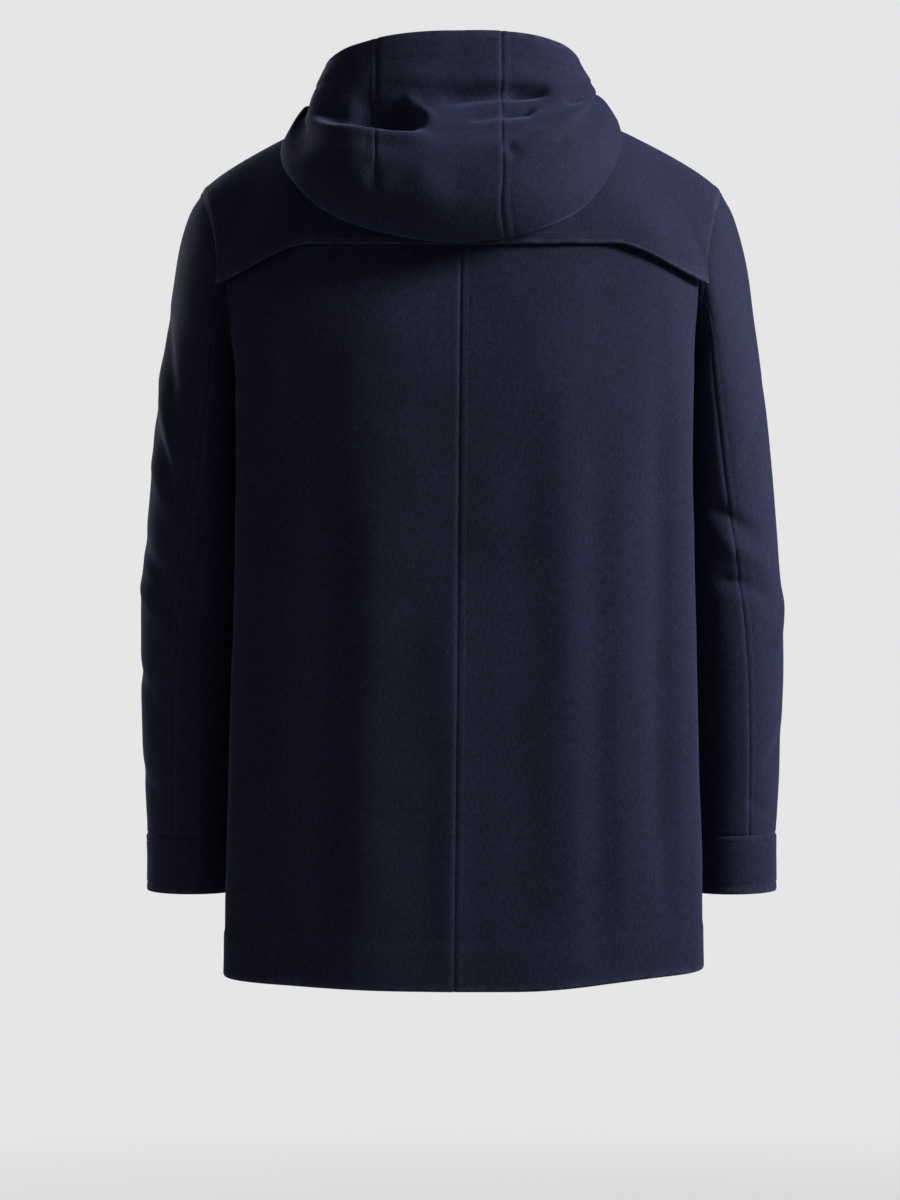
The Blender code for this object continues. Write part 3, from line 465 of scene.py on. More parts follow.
def hood_profile(section):
    """The points down one section of the hood, from the neck seam under the bag and up to its rim."""
    turn, neck, bottom = section.body_turn, section.neck_turn, section.bottom_level
    on_wrap = WRAP_LIFT * smoothstep(0.400, 0.445, abs(turn))
    off = HOOD_LIFT + on_wrap + RIDGE_LIFT * math.exp(-(((abs(turn) - SIDE) / 0.045) ** 2))
    depth = section.belly_off - HOOD_LIFT
    seam = BODY.off(neck, 1.0, 0.0022 + on_wrap) + np.array([0, 0, 0.0010])
    roll = BODY.off(neck, 1.0, 0.0066 + on_wrap) + np.array([0, 0, 0.0056])
    over = BODY.off(neck + 0.15 * (turn - neck), 1 - 0.17 * (1 - bottom), off + 0.0010)
    under = [BODY.off(turn, 1 - share * (1 - bottom), off) for share in (0.45, 0.72, 1.0)]
    fold = BODY.off(turn, bottom - 0.26 * depth - 0.005, off + 0.42 * depth)
    lower_belly = BODY.off(turn, bottom + 0.15 * (section.belly_level - bottom), off + 0.92 * depth)
    belly = BODY.off(turn, section.belly_level, off + depth)
    crease = np.array([section.crease_x, section.crease_y, section.crease_z])
    rim = np.array([section.rim_x, section.rim_y, section.rim_z])
    upper_belly = belly + 0.55 * (crease - belly) + (belly - under[0]) * 0.10
    profile = [seam, roll, over, *under, fold, lower_belly, belly]
    profile += [upper_belly, crease, crease + 0.5 * (rim - crease), rim]
    at_back = 1 - smoothstep(0.40, 0.80, abs(section.across))
    slips = np.array([0, 0, 0, 0, 0, 0, 0.15, 0.45, 0.7, 0.9, 1, 1, 1]) * at_back
    return np.array([p + s * np.array([HOOD_SHIFT, 0, -HOOD_TILT * p[0]]) for p, s in zip(profile, slips)])


def hood_sheet():
    """Across runs from 1 at the left throat, through 0 at the centre back, to -1 at the right throat."""
    left = np.array(HOOD_SECTIONS)
    right = left * np.where([field in SIDEWAYS_FIELDS for field in Hood._fields], -1, 1)
    right[:, Hood._fields.index("body_turn")] *= HOOD_RIGHT_TURN
    for field in ("bottom_level", "belly_level"):
        right[:, Hood._fields.index(field)] += HOOD_RIGHT_RISE
    table = np.vstack([right[:0:-1], left])
    across = np.linspace(-1, 1, 49)
    sections = [Hood(*row) for row in weights(table[:, 0], across) @ table]
    profiles = np.array([hood_profile(section) for section in sections])
    return Sheet(list(HOOD_STEPS), across, np.swapaxes(profiles, 0, 1))


HOOD = hood_sheet()


# ---------------------------------------------------------------- folds and unevenness

def fold_heights(folds, a, b):
    """The height of all the folds of a table at places a, b."""
    total = np.zeros(np.broadcast(a, b).shape)
    for fold in folds:
        run = np.array([fold.to_a - fold.from_a, fold.to_b - fold.from_b])
        length = np.hypot(*run)
        ahead, aside = run / length, np.array([-run[1], run[0]]) / length
        da, db = a - fold.from_a, b - fold.from_b
        share = (da * ahead[0] + db * ahead[1]) / length
        away = da * aside[0] + db * aside[1] - 4 * fold.bow * share * (1 - share)
        width = fold.width * (1 + fold.lean * np.sign(away))
        ends = smoothstep(0, 0.28, share) * smoothstep(1, 0.72, share)
        total = total + fold.height * np.exp(-((away / width) ** 2)) * ends
    return total


def rumple(points, size, seed):
    """Smooth unevenness between -1 and 1, with swells of about this size."""
    lattice = np.random.default_rng(seed).uniform(-1, 1, (32, 32, 32))
    place = points / size
    cell = np.floor(place).astype(int)
    share = place - cell
    share = share * share * (3 - 2 * share)
    total = np.zeros(points.shape[:-1])
    for corner in np.ndindex(2, 2, 2):
        index = (cell + corner) % 32
        part = np.prod(np.where(np.array(corner) == 1, share, 1 - share), axis=-1)
        total += part * lattice[index[..., 0], index[..., 1], index[..., 2]]
    return total


# ---------------------------------------------------------------- wool panels

SEAM, FREE = "seam", "free"
RIM_ANGLES = (45, 90, 135)   # rows of points over a panel's round edge, in degrees
EDGE_WEAR = {FREE: (0.0040, 1.0), SEAM: (0.0022, 0.45)}   # how far in the wear reaches, and its most


def spread(length, fine_ends):
    """Places from 0 to 1 about a grid step apart, closer together near the ends that are fine."""
    near = np.array([0, 0.0008, 0.0018, 0.0031, 0.0048, 0.0068, 0.0092, 0.0124])
    low = near if fine_ends[0] else np.array([0.0])
    high = length - near[::-1] if fine_ends[1] else np.array([length])
    count = max(2, int(round((high[0] - low[-1]) / GRID_STEP)))
    return np.concatenate([low, np.linspace(low[-1], high[0], count + 1)[1:-1], high]) / length


def arc(points, axis):
    """Distance along a grid from its first row or column."""
    steps = np.linalg.norm(np.diff(points, axis=axis), axis=-1)
    pad = [(0, 0), (0, 0)]
    pad[axis] = (1, 0)
    return np.cumsum(np.pad(steps, pad), axis=axis)


class Panel:
    """A cut piece of wool. Its edges are named first_row, last_row, first_column and last_column."""

    def __init__(self, name, points, normals, edges, lift=0, thickness=CLOTH, closed=False, hems=None):
        self.name, self.edges, self.closed = name, edges, closed
        self.base = trim(points, edges)
        down, sideways = arc(self.base, 0), arc(self.base, 1)
        self.distance = {
            "first_row": down,
            "last_row": down[-1:] - down,
            "first_column": sideways,
            "last_column": sideways[:, -1:] - sideways,
        }
        if closed:
            self.distance["first_column"] = self.distance["last_column"] = np.full(down.shape, 1.0)
        self.sheet_normals = normals
        self.lift = lift + np.zeros(down.shape)
        self.thick = np.full(down.shape, thickness)
        self.grooves = np.zeros(down.shape)
        for edge, kind in edges.items():
            if kind == SEAM:
                away = self.distance[edge]
                self.lift = self.lift - SEAM_DEPTH * np.exp(-((away / SEAM_REACH) ** 2))
                self.lift = self.lift + RIDGE_HEIGHT * np.exp(-(((away - RIDGE_AWAY) / RIDGE_WIDTH) ** 2))
        for edge, (height, extra) in (hems or {}).items():
            inside = 1 - smoothstep(height - HEM_STEP, height + HEM_STEP, self.distance[edge])
            self.thick = self.thick + extra * inside

    def groove(self, edge, distance, depth, reach):
        """Draws the wool in along a line."""
        away = self.distance[edge] - distance
        self.grooves = np.maximum(self.grooves, depth * np.exp(-((away / reach) ** 2)))

    def settle(self):
        """Works out both faces, once all folds and grooves are known."""
        self.middle = self.base + self.sheet_normals * self.lift[..., None]
        self.normals = grid_normals(self.middle, self.closed, self.sheet_normals)
        self.outer = self.middle + self.normals * (self.thick / 2 - self.grooves)[..., None]
        self.inner = self.middle - self.normals * (self.thick / 2)[..., None]

    def line(self, edge, distance):
        """Points on the outer face along an edge, a distance in from it."""
        by_row = edge.endswith("column")
        away, outer = self.distance[edge], self.outer
        if not by_row:
            away, outer = away.T, np.swapaxes(outer, 0, 1)
        if edge.startswith("last"):
            away, outer = away[:, ::-1], outer[:, ::-1]
        route = np.array([[np.interp(distance, a, o[:, k]) for k in range(3)] for a, o in zip(away, outer)])
        if self.closed and not by_row:
            route = np.vstack([route, route[:1]])
        return route


def trim(points, edges):
    """The same grid with its edges drawn in by half the gap between two panels."""
    points = points.copy()
    for edge in edges:
        axis = 0 if edge.endswith("row") else 1
        at, beside = (0, 1) if edge.startswith("first") else (-1, -2)
        rim, next_in = np.take(points, at, axis), np.take(points, beside, axis)
        index = [slice(None)] * 3
        index[axis] = at
        points[tuple(index)] = rim + unit(next_in - rim) * SEAM_GAP / 2
    return points


def grid_normals(points, closed, like):
    """Normals of a grid of points, on the same side as the given ones."""
    if closed:
        wide = np.concatenate([points[:, -1:], points, points[:, :1]], 1)
        across = wide[:, 2:] - wide[:, :-2]
    else:
        across = np.gradient(points, axis=1)
    normals = unit(np.cross(np.gradient(points, axis=0), across))
    return normals * np.sign(np.sum(normals * like, -1, keepdims=True))


def panel_mesh(panel, material):
    """The panel as a closed mesh with rounded free edges and a UV map in metres."""
    rows, columns = panel.middle.shape[:2]
    columns_used = columns if panel.closed else columns - 1
    count = rows * columns
    vertices = np.vstack([panel.outer.reshape(-1, 3), panel.inner.reshape(-1, 3)])
    index = np.arange(count).reshape(rows, columns)
    right = np.roll(index, -1, 1)
    quads = np.stack([index, right, np.roll(right, -1, 0), np.roll(index, -1, 0)], -1)
    quads = quads[:-1, :columns_used].reshape(-1, 4)
    outward = np.cross(panel.middle[1, 0] - panel.middle[0, 0], panel.middle[0, 1] - panel.middle[0, 0])
    flipped = np.dot(outward, panel.normals[0, 0]) > 0
    faces = [quads[:, ::-1] if flipped else quads, (quads if flipped else quads[:, ::-1]) + count]
    extra, rims = [], []

    def rim(outline, outward_way):
        """Closes the wall along an outline of grid places, with a round edge."""
        outer, inner = vertices[outline], vertices[outline + count]
        middle, half = (outer + inner) / 2, (outer - inner) / 2
        reach = np.linalg.norm(half, axis=-1, keepdims=True) * 0.92
        ring = [outline]
        for angle in RIM_ANGLES:
            a = math.radians(angle)
            ring.append(len(vertices) + sum(map(len, extra)) + np.arange(len(outline)))
            extra.append(middle + half * math.cos(a) + outward_way * reach * math.sin(a))
        ring.append(outline + count)
        for near, far in zip(ring, ring[1:]):
            rims.append(np.stack([near[:-1], near[1:], far[1:], far[:-1]], -1))

    m = panel.middle
    outwards = np.zeros((rows, columns, 3))
    outwards[0] += unit(m[0] - m[1])
    outwards[-1] += unit(m[-1] - m[-2])
    if not panel.closed:
        outwards[:, 0] += unit(m[:, 0] - m[:, 1])
        outwards[:, -1] += unit(m[:, -1] - m[:, -2])
    outlines = rim_outlines(panel, index)
    for outline in outlines:
        rim(outline, unit(outwards.reshape(-1, 3)[outline]))
    if flipped:
        rims = [r[:, ::-1] for r in rims]
    vertices = np.vstack([vertices, *extra])
    mesh = bpy.data.meshes.new(panel.name)
    mesh.from_pydata(vertices.tolist(), [], np.vstack([*faces, *rims]).tolist())
    down, sideways = arc(panel.base, 0), arc(panel.base, 1)
    uv = np.zeros((len(vertices), 2))
    uv[:count] = uv[count:2 * count] = np.stack([sideways - sideways[:, -1:] / 2, down], -1).reshape(-1, 2)
    on_rim = np.concatenate([np.tile(outline, len(RIM_ANGLES)) for outline in outlines])
    uv[2 * count:] = uv[on_rim]
    near = np.zeros((rows, columns))
    for edge, kind in panel.edges.items():
        reach, most = EDGE_WEAR[kind]
        near = np.maximum(near, most * np.exp(-((panel.distance[edge] / reach) ** 2)))
    worn = np.zeros(len(vertices))
    worn[:count] = worn[count:2 * count] = near.ravel()
    worn[2 * count:] = worn[on_rim]
    mesh.attributes.new("edge", "FLOAT", "POINT").data.foreach_set("value", worn)
    layer = mesh.uv_layers.new(name="cloth")
    loops = np.empty(len(mesh.loops), int)
    mesh.loops.foreach_get("vertex_index", loops)
    layer.data.foreach_set("uv", uv[loops].ravel())
    mesh.shade_smooth()
    mesh.materials.append(material)
    return mesh


def rim_outlines(panel, index):
    """The outlines of the grid that are closed by a wall, as grid places in order."""
    if panel.closed:
        loop = np.append(np.arange(index.shape[1]), 0)
        return [index[0][loop][::-1], index[-1][loop]]
    around = np.concatenate([index[0, :-1], index[:-1, -1], index[-1, :0:-1], index[:0:-1, 0]])
    return [np.append(around, around[0])[::-1]]


def add_piece(name, mesh, replaces):
    piece = bpy.data.objects.new(name, mesh)
    bpy.context.scene.collection.objects.link(piece)
    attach(piece, "root")
    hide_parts(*replaces)
    return piece


def add_panel(panel, material):
    piece = add_piece(f"{panel.name}_wool", panel_mesh(panel, material), [panel.name])
    down, sideways = arc(panel.base, 0), arc(panel.base, 1)
    squares = np.cross(np.diff(panel.base, axis=0)[:, :-1], np.diff(panel.base, axis=1)[:-1])


# ---------------------------------------------------------------- the body

def waves(points):
    """The unevenness that every panel shares, so that it runs on across the seams."""
    return 0.0011 * rumple(points, 0.085, 3) + 0.0005 * rumple(points, 0.034, 5)


def body_folds(points, turns):
    at_back = smoothstep(SIDE, SIDE - 0.035, np.abs(turns))
    at_front = smoothstep(SIDE, SIDE + 0.035, np.abs(turns))
    x, z = points[..., 0], points[..., 2]
    from_crest = np.clip((x - BACK_CREST) / 0.20, -1, 1)
    round_back = BACK_ROUND * (1 - from_crest**2) * smoothstep(-0.10, -0.26, z)
    back = fold_heights(BACK_FOLDS, x, z) + round_back
    return at_back * back + at_front * fold_heights(FRONT_FOLDS, x, z) + waves(points)


def body_panel(name, side, turns, levels, edges, lift=None):
    turns, levels = np.broadcast_arrays(side * turns, levels)
    normals, points = BODY.normal(turns, levels), BODY.at(turns, levels)
    rises = smoothstep(-0.05, -0.19, points[..., 0]) * smoothstep(0.20, 0, levels) * (np.abs(turns) < 0.5)
    points[..., 2] += HEM_RISE_RIGHT * rises
    under_yoke = smoothstep(YOKE_BACK - 0.005, YOKE_BACK + 0.02, levels)
    raised = body_folds(points, turns) * (1 - under_yoke)
    if lift is not None:
        raised = raised + lift(points[..., 0], turns)
    panel = Panel(name, points, normals, edges, lift=raised, hems={"first_row": (0.040, 0.0016)})
    panel.groove("first_row", 0.040, 0.0002, 0.0030)
    return panel


def make_body():
    levels = spread(0.80, (True, False))[:, None]
    reach = armhole_reach(levels)
    panels = []
    shares = spread(0.20, (True, True))[None]
    edges = {"first_row": FREE, "last_row": SEAM, "first_column": SEAM, "last_column": SEAM}
    for side, word in ((1, "left"), (-1, "right")):
        centre = side * BACK_SEAM_LEAN * (1 - levels)
        turns = centre + shares * (SIDE - ARMHOLE_BACK_DEPTH * reach - centre)
        panels.append(body_panel(f"back_{word}", side, turns, levels, edges))

    front_seam = SIDE + ARMHOLE_FRONT_DEPTH * reach
    edges = {"first_row": FREE, "last_row": SEAM, "first_column": FREE, "last_column": SEAM}
    for side, word, edge, lift in ((1, "left", LEFT_EDGE, wrap_lift), (-1, "right", -RIGHT_EDGE, None)):
        first = turn_at(np.array([[edge]]), levels)
        wide = spread(0.24, (True, True))[None]
        turns = first + wide * (front_seam - first)
        panels.append(body_panel(f"front_{word}", side, turns, levels, edges, lift))
    return panels


def make_yoke():
    """One piece over both shoulders, with a free stitched edge across the back and the fronts."""
    back_end = SIDE - ARMHOLE_BACK_DEPTH * float(armhole_reach(np.array(YOKE_BACK_ARMHOLE)))
    front_end = SIDE + ARMHOLE_FRONT_DEPTH * float(armhole_reach(np.array(YOKE_FRONT_ARMHOLE)))
    stretches = (
        (BACK, BLADE_CORNER, 40), (BLADE_CORNER, back_end, 8), (back_end, SIDE, 34),
        (SIDE, front_end, 30), (front_end, YOKE_CHEST, 12),
    )
    half = [np.linspace(first, last, count, endpoint=False) for first, last, count in stretches]
    half = np.append(np.concatenate(half), YOKE_CHEST)
    rows = spread(0.17, (True, False))[:, None]
    middle_turns = np.concatenate([-half[:0:-1], half])[None]
    edge = yoke_edge(middle_turns)
    middle_levels = edge + rows * (YOKE_NECK_LEVEL - edge)
    ends_level = YOKE_FRONT + rows * (YOKE_NECK_LEVEL - YOKE_FRONT)
    left_x = np.linspace(0, 1, 26)[None, 1:]
    left_stop, right_stop = turn_at(LEFT_EDGE, ends_level), turn_at(-LEFT_EDGE + 0.0012, ends_level)
    left_turns = YOKE_CHEST + left_x * (left_stop - YOKE_CHEST)
    right_turns = -(YOKE_CHEST + left_x[:, ::-1] * (right_stop - YOKE_CHEST))
    turns = np.hstack([right_turns, middle_turns + 0 * rows, left_turns])
    levels = np.hstack([ends_level + 0 * right_turns, middle_levels, ends_level + 0 * left_turns])
    from_side = SIDE - np.abs(turns)
    near_armhole = smoothstep(0.13, SIDE - back_end, from_side) * smoothstep(0, 0.045, from_side)
    near_edge = smoothstep(0.45, 0, rows)
    normals, points = BODY.normal(turns, levels), BODY.at(turns, levels)
    lift = YOKE_LIFT + YOKE_END_FLARE * near_armhole * near_edge + wrap_lift(points[..., 0], turns)
    lift = lift + fold_heights(YOKE_FOLDS, points[..., 0], points[..., 2]) * (from_side > 0)
    lift = lift + 0.6 * waves(points)
    sewn = (np.abs(turns[:1]) > back_end) & (np.abs(turns[:1]) < front_end)
    edges = {"first_row": FREE, "last_row": SEAM, "first_column": FREE, "last_column": FREE}
    panel = Panel("yoke", points, normals, edges, lift=lift, hems={"first_row": (0.010, 0.0010)})
    panel.lift = panel.lift - sewn * 0.0012 * np.exp(-((panel.distance["first_row"] / 0.003) ** 2))
    return panel


# ---------------------------------------------------------------- the sleeves

def make_sleeve(side, word):
    """A top sleeve and an under sleeve, joined at the back and front seams.

    The first rows are the seam allowance, which turns in through the armhole.
    """
    tucked = np.array([1.0, 0.75, 0.5, 0.25])[:, None, None] * ARMHOLE_ALLOWANCE
    along = np.concatenate([np.zeros(len(tucked)), spread(0.66, (True, True))])
    back, front = seam_turn(along, "back"), seam_turn(along, "front")
    edges = {"first_row": FREE, "last_row": SEAM, "first_column": SEAM, "last_column": SEAM}
    panels = []
    cuts = (("sleeve_top", front - 1, back, 0.27), ("sleeve_under", back, front, 0.20))
    for panel_name, start, end, width in cuts:
        shares = spread(width, (True, True))[None]
        turns = start[:, None] + shares * (end - start)[:, None]
        levels = along[:, None] + 0 * turns
        points, normals = SLEEVE.at(turns, levels), SLEEVE.normal(turns, levels)
        points[:len(tucked)] -= tucked * BODY.normal(*armhole_place(turns[:len(tucked)]))
        around = 0.5 * turns
        ends = smoothstep(0, 0.05, levels) * smoothstep(1.0, 0.97, levels)
        folds = fold_heights(SLEEVE_FOLDS[word], around, points[..., 2])
        folds = folds + fold_heights(SLEEVE_FOLDS[word], around - 0.5, points[..., 2])
        if side < 0:
            points, normals = mirrored(points), mirrored(normals)
        lift = (folds + waves(points)) * ends
        panels.append(Panel(f"{panel_name}_{word}", points, normals, edges, lift=lift))
    return panels


def make_cuff(side, word):
    """A band round the sleeve's end, in line with it."""
    turns = np.linspace(0, 1, 96, endpoint=False)[None]
    top = SLEEVE.at(turns, 1 + 0 * turns)
    outward = SLEEVE.normal(turns, 1 + 0 * turns)
    down = unit((top - SLEEVE.at(turns, 0.97 + 0 * turns)).mean(axis=(0, 1)))
    rows = spread(CUFF_HEIGHT, (True, True))[:, None, None]
    points = top + down * (SEAM_GAP + rows * CUFF_HEIGHT) + outward * 0.0006
    normals = outward + 0 * points
    if side < 0:
        points, normals = mirrored(points), mirrored(normals)
    lift = 0.8 * waves(points) * smoothstep(0, 0.5, rows[..., 0])
    edges = {"first_row": SEAM, "last_row": FREE}
    return Panel(f"cuff_{word}", points, normals, edges, lift=lift, thickness=CUFF_THICK, closed=True)


# ---------------------------------------------------------------- the hood

def strip_edge(edge, levels):
    """The places across of a strip's edge. Over the outside of the bag its seam runs straight down."""
    x = HOOD.at(np.full(levels.size, edge), levels)[..., 0]
    straight = HOOD_SEAM_X[edge]
    places = np.linspace(edge - 0.16, edge + 0.16, 65)
    found = [np.interp(straight, HOOD.at(places, np.full(65, level))[:, 0], places) for level in levels]
    return edge + (np.array(found) - edge) * smoothstep(0.44, 0.54, levels) * (np.abs(x - straight) < 0.05)


def hold_in(x, z, share):
    """Pulls the bag's upper corners in to the slope at which the hood falls from its rim."""
    heights, lefts, rights = zip(*HOOD_SLOPE)
    left, right = np.interp(z, heights, lefts), np.interp(z, heights, rights)
    over_left = HOOD_HOLD * np.logaddexp(0, (x - left) / HOOD_HOLD)
    over_right = HOOD_HOLD * np.logaddexp(0, (right - x) / HOOD_HOLD)
    return x - share * (over_left - over_right)


def make_hood():
    """Two sides and a middle strip, each from the neck seam down the back, round and up to the rim."""
    fine = spread(0.36, (True, True))
    along = fine[:, None]
    left_strip, right_strip = HOOD_STRIP
    panels = []
    for name, start, end, width in (
        ("hood_left", left_strip, 1.0, 0.26),
        ("hood_middle", right_strip, left_strip, 0.12),
        ("hood_right", -1.0, right_strip, 0.27),
    ):
        first, last = (
            strip_edge(place, fine)[:, None] if place in HOOD_SEAM_X else np.full(along.shape, place)
            for place in (start, end)
        )
        across = first + spread(width, (True, True))[None] * (last - first)
        levels = along + 0 * across
        points, normals = HOOD.at(across, levels), HOOD.normal(across, levels)
        outside = smoothstep(0.44, 0.56, levels)
        corner = smoothstep(0.118, 0.168, points[..., 0]) * outside * smoothstep(0.97, 0.74, levels)
        points[..., 2] -= HOOD_DROOP * corner
        pulled = hold_in(points[..., 0], points[..., 2], smoothstep(0.24, 0.38, levels))
        points[..., 2] += SHOULDER_SLOPE * np.abs(points[..., 0] - pulled) * (1 - outside)
        points[..., 0] = pulled
        folds = fold_heights(HOOD_FOLDS, points[..., 0], points[..., 2])
        lift = outside * (folds + 1.6 * waves(points) + 0.0010 * rumple(points, 0.022, 11))
        edges = {"first_row": SEAM, "last_row": FREE}
        edges["first_column"] = FREE if name == "hood_right" else SEAM
        edges["last_column"] = FREE if name == "hood_left" else SEAM
        panels.append(Panel(name, points, normals, edges, lift=lift, hems={"last_row": (0.027, 0.0018)}))
    return panels


# ---------------------------------------------------------------- toggles and cords

def front_place(x, z):
    """The place on the body sheet of a point on the fronts, near the centre."""
    levels = np.linspace(0, 1, 400)
    level = float(np.interp(z, BODY.at(FRONT, levels)[:, 2], levels))
    turns = np.linspace(CHEST_CORNER, 1 - CHEST_FLAT, 200)
    xs = BODY.at(turns, level)[:, 0]
    return float(np.interp(-x, -xs, turns)), level


def front_point(x, z, height):
    return BODY.off(*front_place(x, z), height)


def make_patch(name, near_x, away, z, height):
    """A flat patch sewn on a front, from its near edge away from the centre line."""
    columns, rows = 15, 14
    points, normals = np.empty((rows, columns, 3)), np.empty((rows, columns, 3))
    for r, c in np.ndindex(rows, columns):
        x = near_x + away * PATCH_WIDE * c / (columns - 1)
        place = front_place(x, z + PATCH_TALL * (r / (rows - 1) - 0.5))
        points[r, c], normals[r, c] = BODY.off(*place, height), BODY.normal(*place)
    edges = {edge: FREE for edge in ("first_row", "last_row", "first_column", "last_column")}
    return Panel(name, points, normals, edges, thickness=PATCH_THICK)


def sideways_of(route):
    """Two directions square to a route and to each other, at every point of it."""
    ahead = unit(np.gradient(route, axis=0))
    side = unit(np.cross(ahead, np.array([0.31, 0.0, 0.95])))
    return side, np.cross(side, ahead)


def strand_tube(route, radius, sides, twist, offset):
    """Vertices and faces of a round strand that turns by twist round a route, an offset away from it."""
    side, up = sideways_of(route)
    route = route + offset * (np.cos(twist)[:, None] * side + np.sin(twist)[:, None] * up)
    side, up = sideways_of(route)
    angle = np.linspace(0, 2 * math.pi, sides, endpoint=False)
    ring = np.cos(angle)[None, :, None] * side[:, None] + np.sin(angle)[None, :, None] * up[:, None]
    vertices = (route[:, None] + radius * ring).reshape(-1, 3)
    index = np.arange(len(vertices)).reshape(len(route), sides)
    right = np.roll(index, -1, 1)
    quads = np.stack([index[:-1], right[:-1], right[1:], index[1:]], -1).reshape(-1, 4)
    caps = [index[0][::-1].tolist(), index[-1].tolist()]
    return vertices, quads.tolist() + caps


def smooth_route(points, step):
    points = np.asarray(points, float)
    travelled = np.concatenate([[0], np.cumsum(np.linalg.norm(np.diff(points, axis=0), axis=1))])
    count = max(8, int(travelled[-1] / step))
    return weights(travelled, np.linspace(0, travelled[-1], count)) @ points


def make_cord(name, points, node):
    """A cord of three twisted strands."""
    route = smooth_route(points, 0.0009)
    travelled = arc(route[:, None], 0)[:, 0]
    vertices, faces, start = [], [], 0
    for strand in range(3):
        twist = 2 * math.pi * (travelled / CORD_LAY + strand / 3)
        v, f = strand_tube(route, CORD_RADIUS * 0.50, 7, twist, CORD_RADIUS * 0.50)
        vertices.append(v)
        faces += [[start + k for k in face] for face in f]
        start += len(v)
    mesh = bpy.data.meshes.new(name)
    mesh.from_pydata(np.vstack(vertices).tolist(), [], faces)
    finish_mesh(mesh, CORD_MATERIAL)
    add_piece(name, mesh, [node])


def finish_mesh(mesh, material):
    """Smooth shading, faces outward and one material."""
    work = bmesh.new()
    work.from_mesh(mesh)
    bmesh.ops.recalc_face_normals(work, faces=work.faces)
    work.to_mesh(mesh)
    work.free()
    mesh.shade_smooth()
    mesh.materials.append(material)


TogglePart = namedtuple("TogglePart", "share radius")
TOGGLE_HALF = (
    TogglePart(0.000, 0.00), TogglePart(0.004, 0.24), TogglePart(0.020, 0.40), TogglePart(0.060, 0.52),
    TogglePart(0.140, 0.70), TogglePart(0.250, 0.86), TogglePart(0.360, 0.96), TogglePart(0.430, 1.00),
    TogglePart(0.448, 0.96), TogglePart(0.458, 0.86), TogglePart(0.470, 0.82), TogglePart(0.500, 0.81),
)
TOGGLE_PROFILE = TOGGLE_HALF + tuple(TogglePart(1 - part.share, part.radius) for part in TOGGLE_HALF[-2::-1])


def make_toggle(name, z, height, node):
    """A turned peg with a waist for its cord, bowed a little outwards."""
    base, top = front_point(0, z - TOGGLE_LENGTH / 2, height), front_point(0, z + TOGGLE_LENGTH / 2, height)
    axis, outward = top - base, BODY.normal(*front_place(0, z))
    beside = np.cross(unit(axis), outward)
    sides = 28
    angle = np.linspace(0, 2 * math.pi, sides, endpoint=False)
    spokes = np.cos(angle)[:, None] * outward + np.sin(angle)[:, None] * beside
    vertices = []
    for part in TOGGLE_PROFILE:
        bow = 0.0016 * (1 - (2 * part.share - 1) ** 2) - 0.0010
        vertices.append(base + axis * part.share + outward * bow + spokes * part.radius * TOGGLE_RADIUS)
    index = np.arange(len(vertices) * sides).reshape(len(vertices), sides)
    right = np.roll(index, -1, 1)
    quads = np.stack([index[:-1], right[:-1], right[1:], index[1:]], -1).reshape(-1, 4)
    mesh = bpy.data.meshes.new(name)
    mesh.from_pydata(np.vstack(vertices).tolist(), [], quads.tolist())
    work = bmesh.new()
    work.from_mesh(mesh)
    bmesh.ops.remove_doubles(work, verts=work.verts, dist=1e-6)
    work.to_mesh(mesh)
    work.free()
    finish_mesh(mesh, HORN_MATERIAL)
    add_piece(name, mesh, [node])


def make_fastening(number, z):
    """A toggle on a short cord from the right front, in a cord loop from the left front."""
    right_face, left_face = CLOTH / 2, WRAP_LIFT + CLOTH / 2
    patch_off = 0.0004 + PATCH_THICK / 2
    low = left_face + 0.0005 + CORD_RADIUS
    patches = [
        make_patch(f"loop_patch_{number}", PATCH_NEAR_LEFT, 1, z, left_face + patch_off),
        make_patch(f"toggle_patch_{number}", -PATCH_NEAR_RIGHT, -1, z, right_face + patch_off),
    ]
    half_gap, turn_x = 0.0085, -0.010
    bend = [(turn_x - half_gap * math.sin(a), half_gap * math.cos(a)) for a in np.linspace(0, math.pi, 9)]
    straight = [(x, half_gap) for x in np.linspace(PATCH_NEAR_LEFT - 0.0006, turn_x, 6)[:-1]]
    back = [(x, -half_gap) for x, dz in reversed(straight)]
    loop = [front_point(x, z + dz, low) for x, dz in straight + bend + back]
    make_cord(f"loop_{number}_cord", loop, f"loop_cord_{number}")

    over = low + 2 * CORD_RADIUS + 0.0006
    peg = low + CORD_RADIUS + 0.0006 + TOGGLE_RADIUS
    rests = right_face + 0.0005 + CORD_RADIUS
    heights = ((-PATCH_NEAR_RIGHT + 0.0006, rests), (-0.049, rests), (-0.043, rests + 0.0012))
    heights += ((-0.037, low + 0.0008), (-0.028, low + 0.0022), (-0.0205, over), (-0.013, over + 0.0012))
    heights += ((-0.0074 - CORD_RADIUS, peg - 0.0006),)
    make_cord(f"toggle_{number}_cord", [front_point(x, z, h) for x, h in heights], f"toggle_cord_{number}")
    make_toggle(f"toggle_{number}_peg", z, peg, f"toggle_{number}")
    return patches


# ---------------------------------------------------------------- stitches

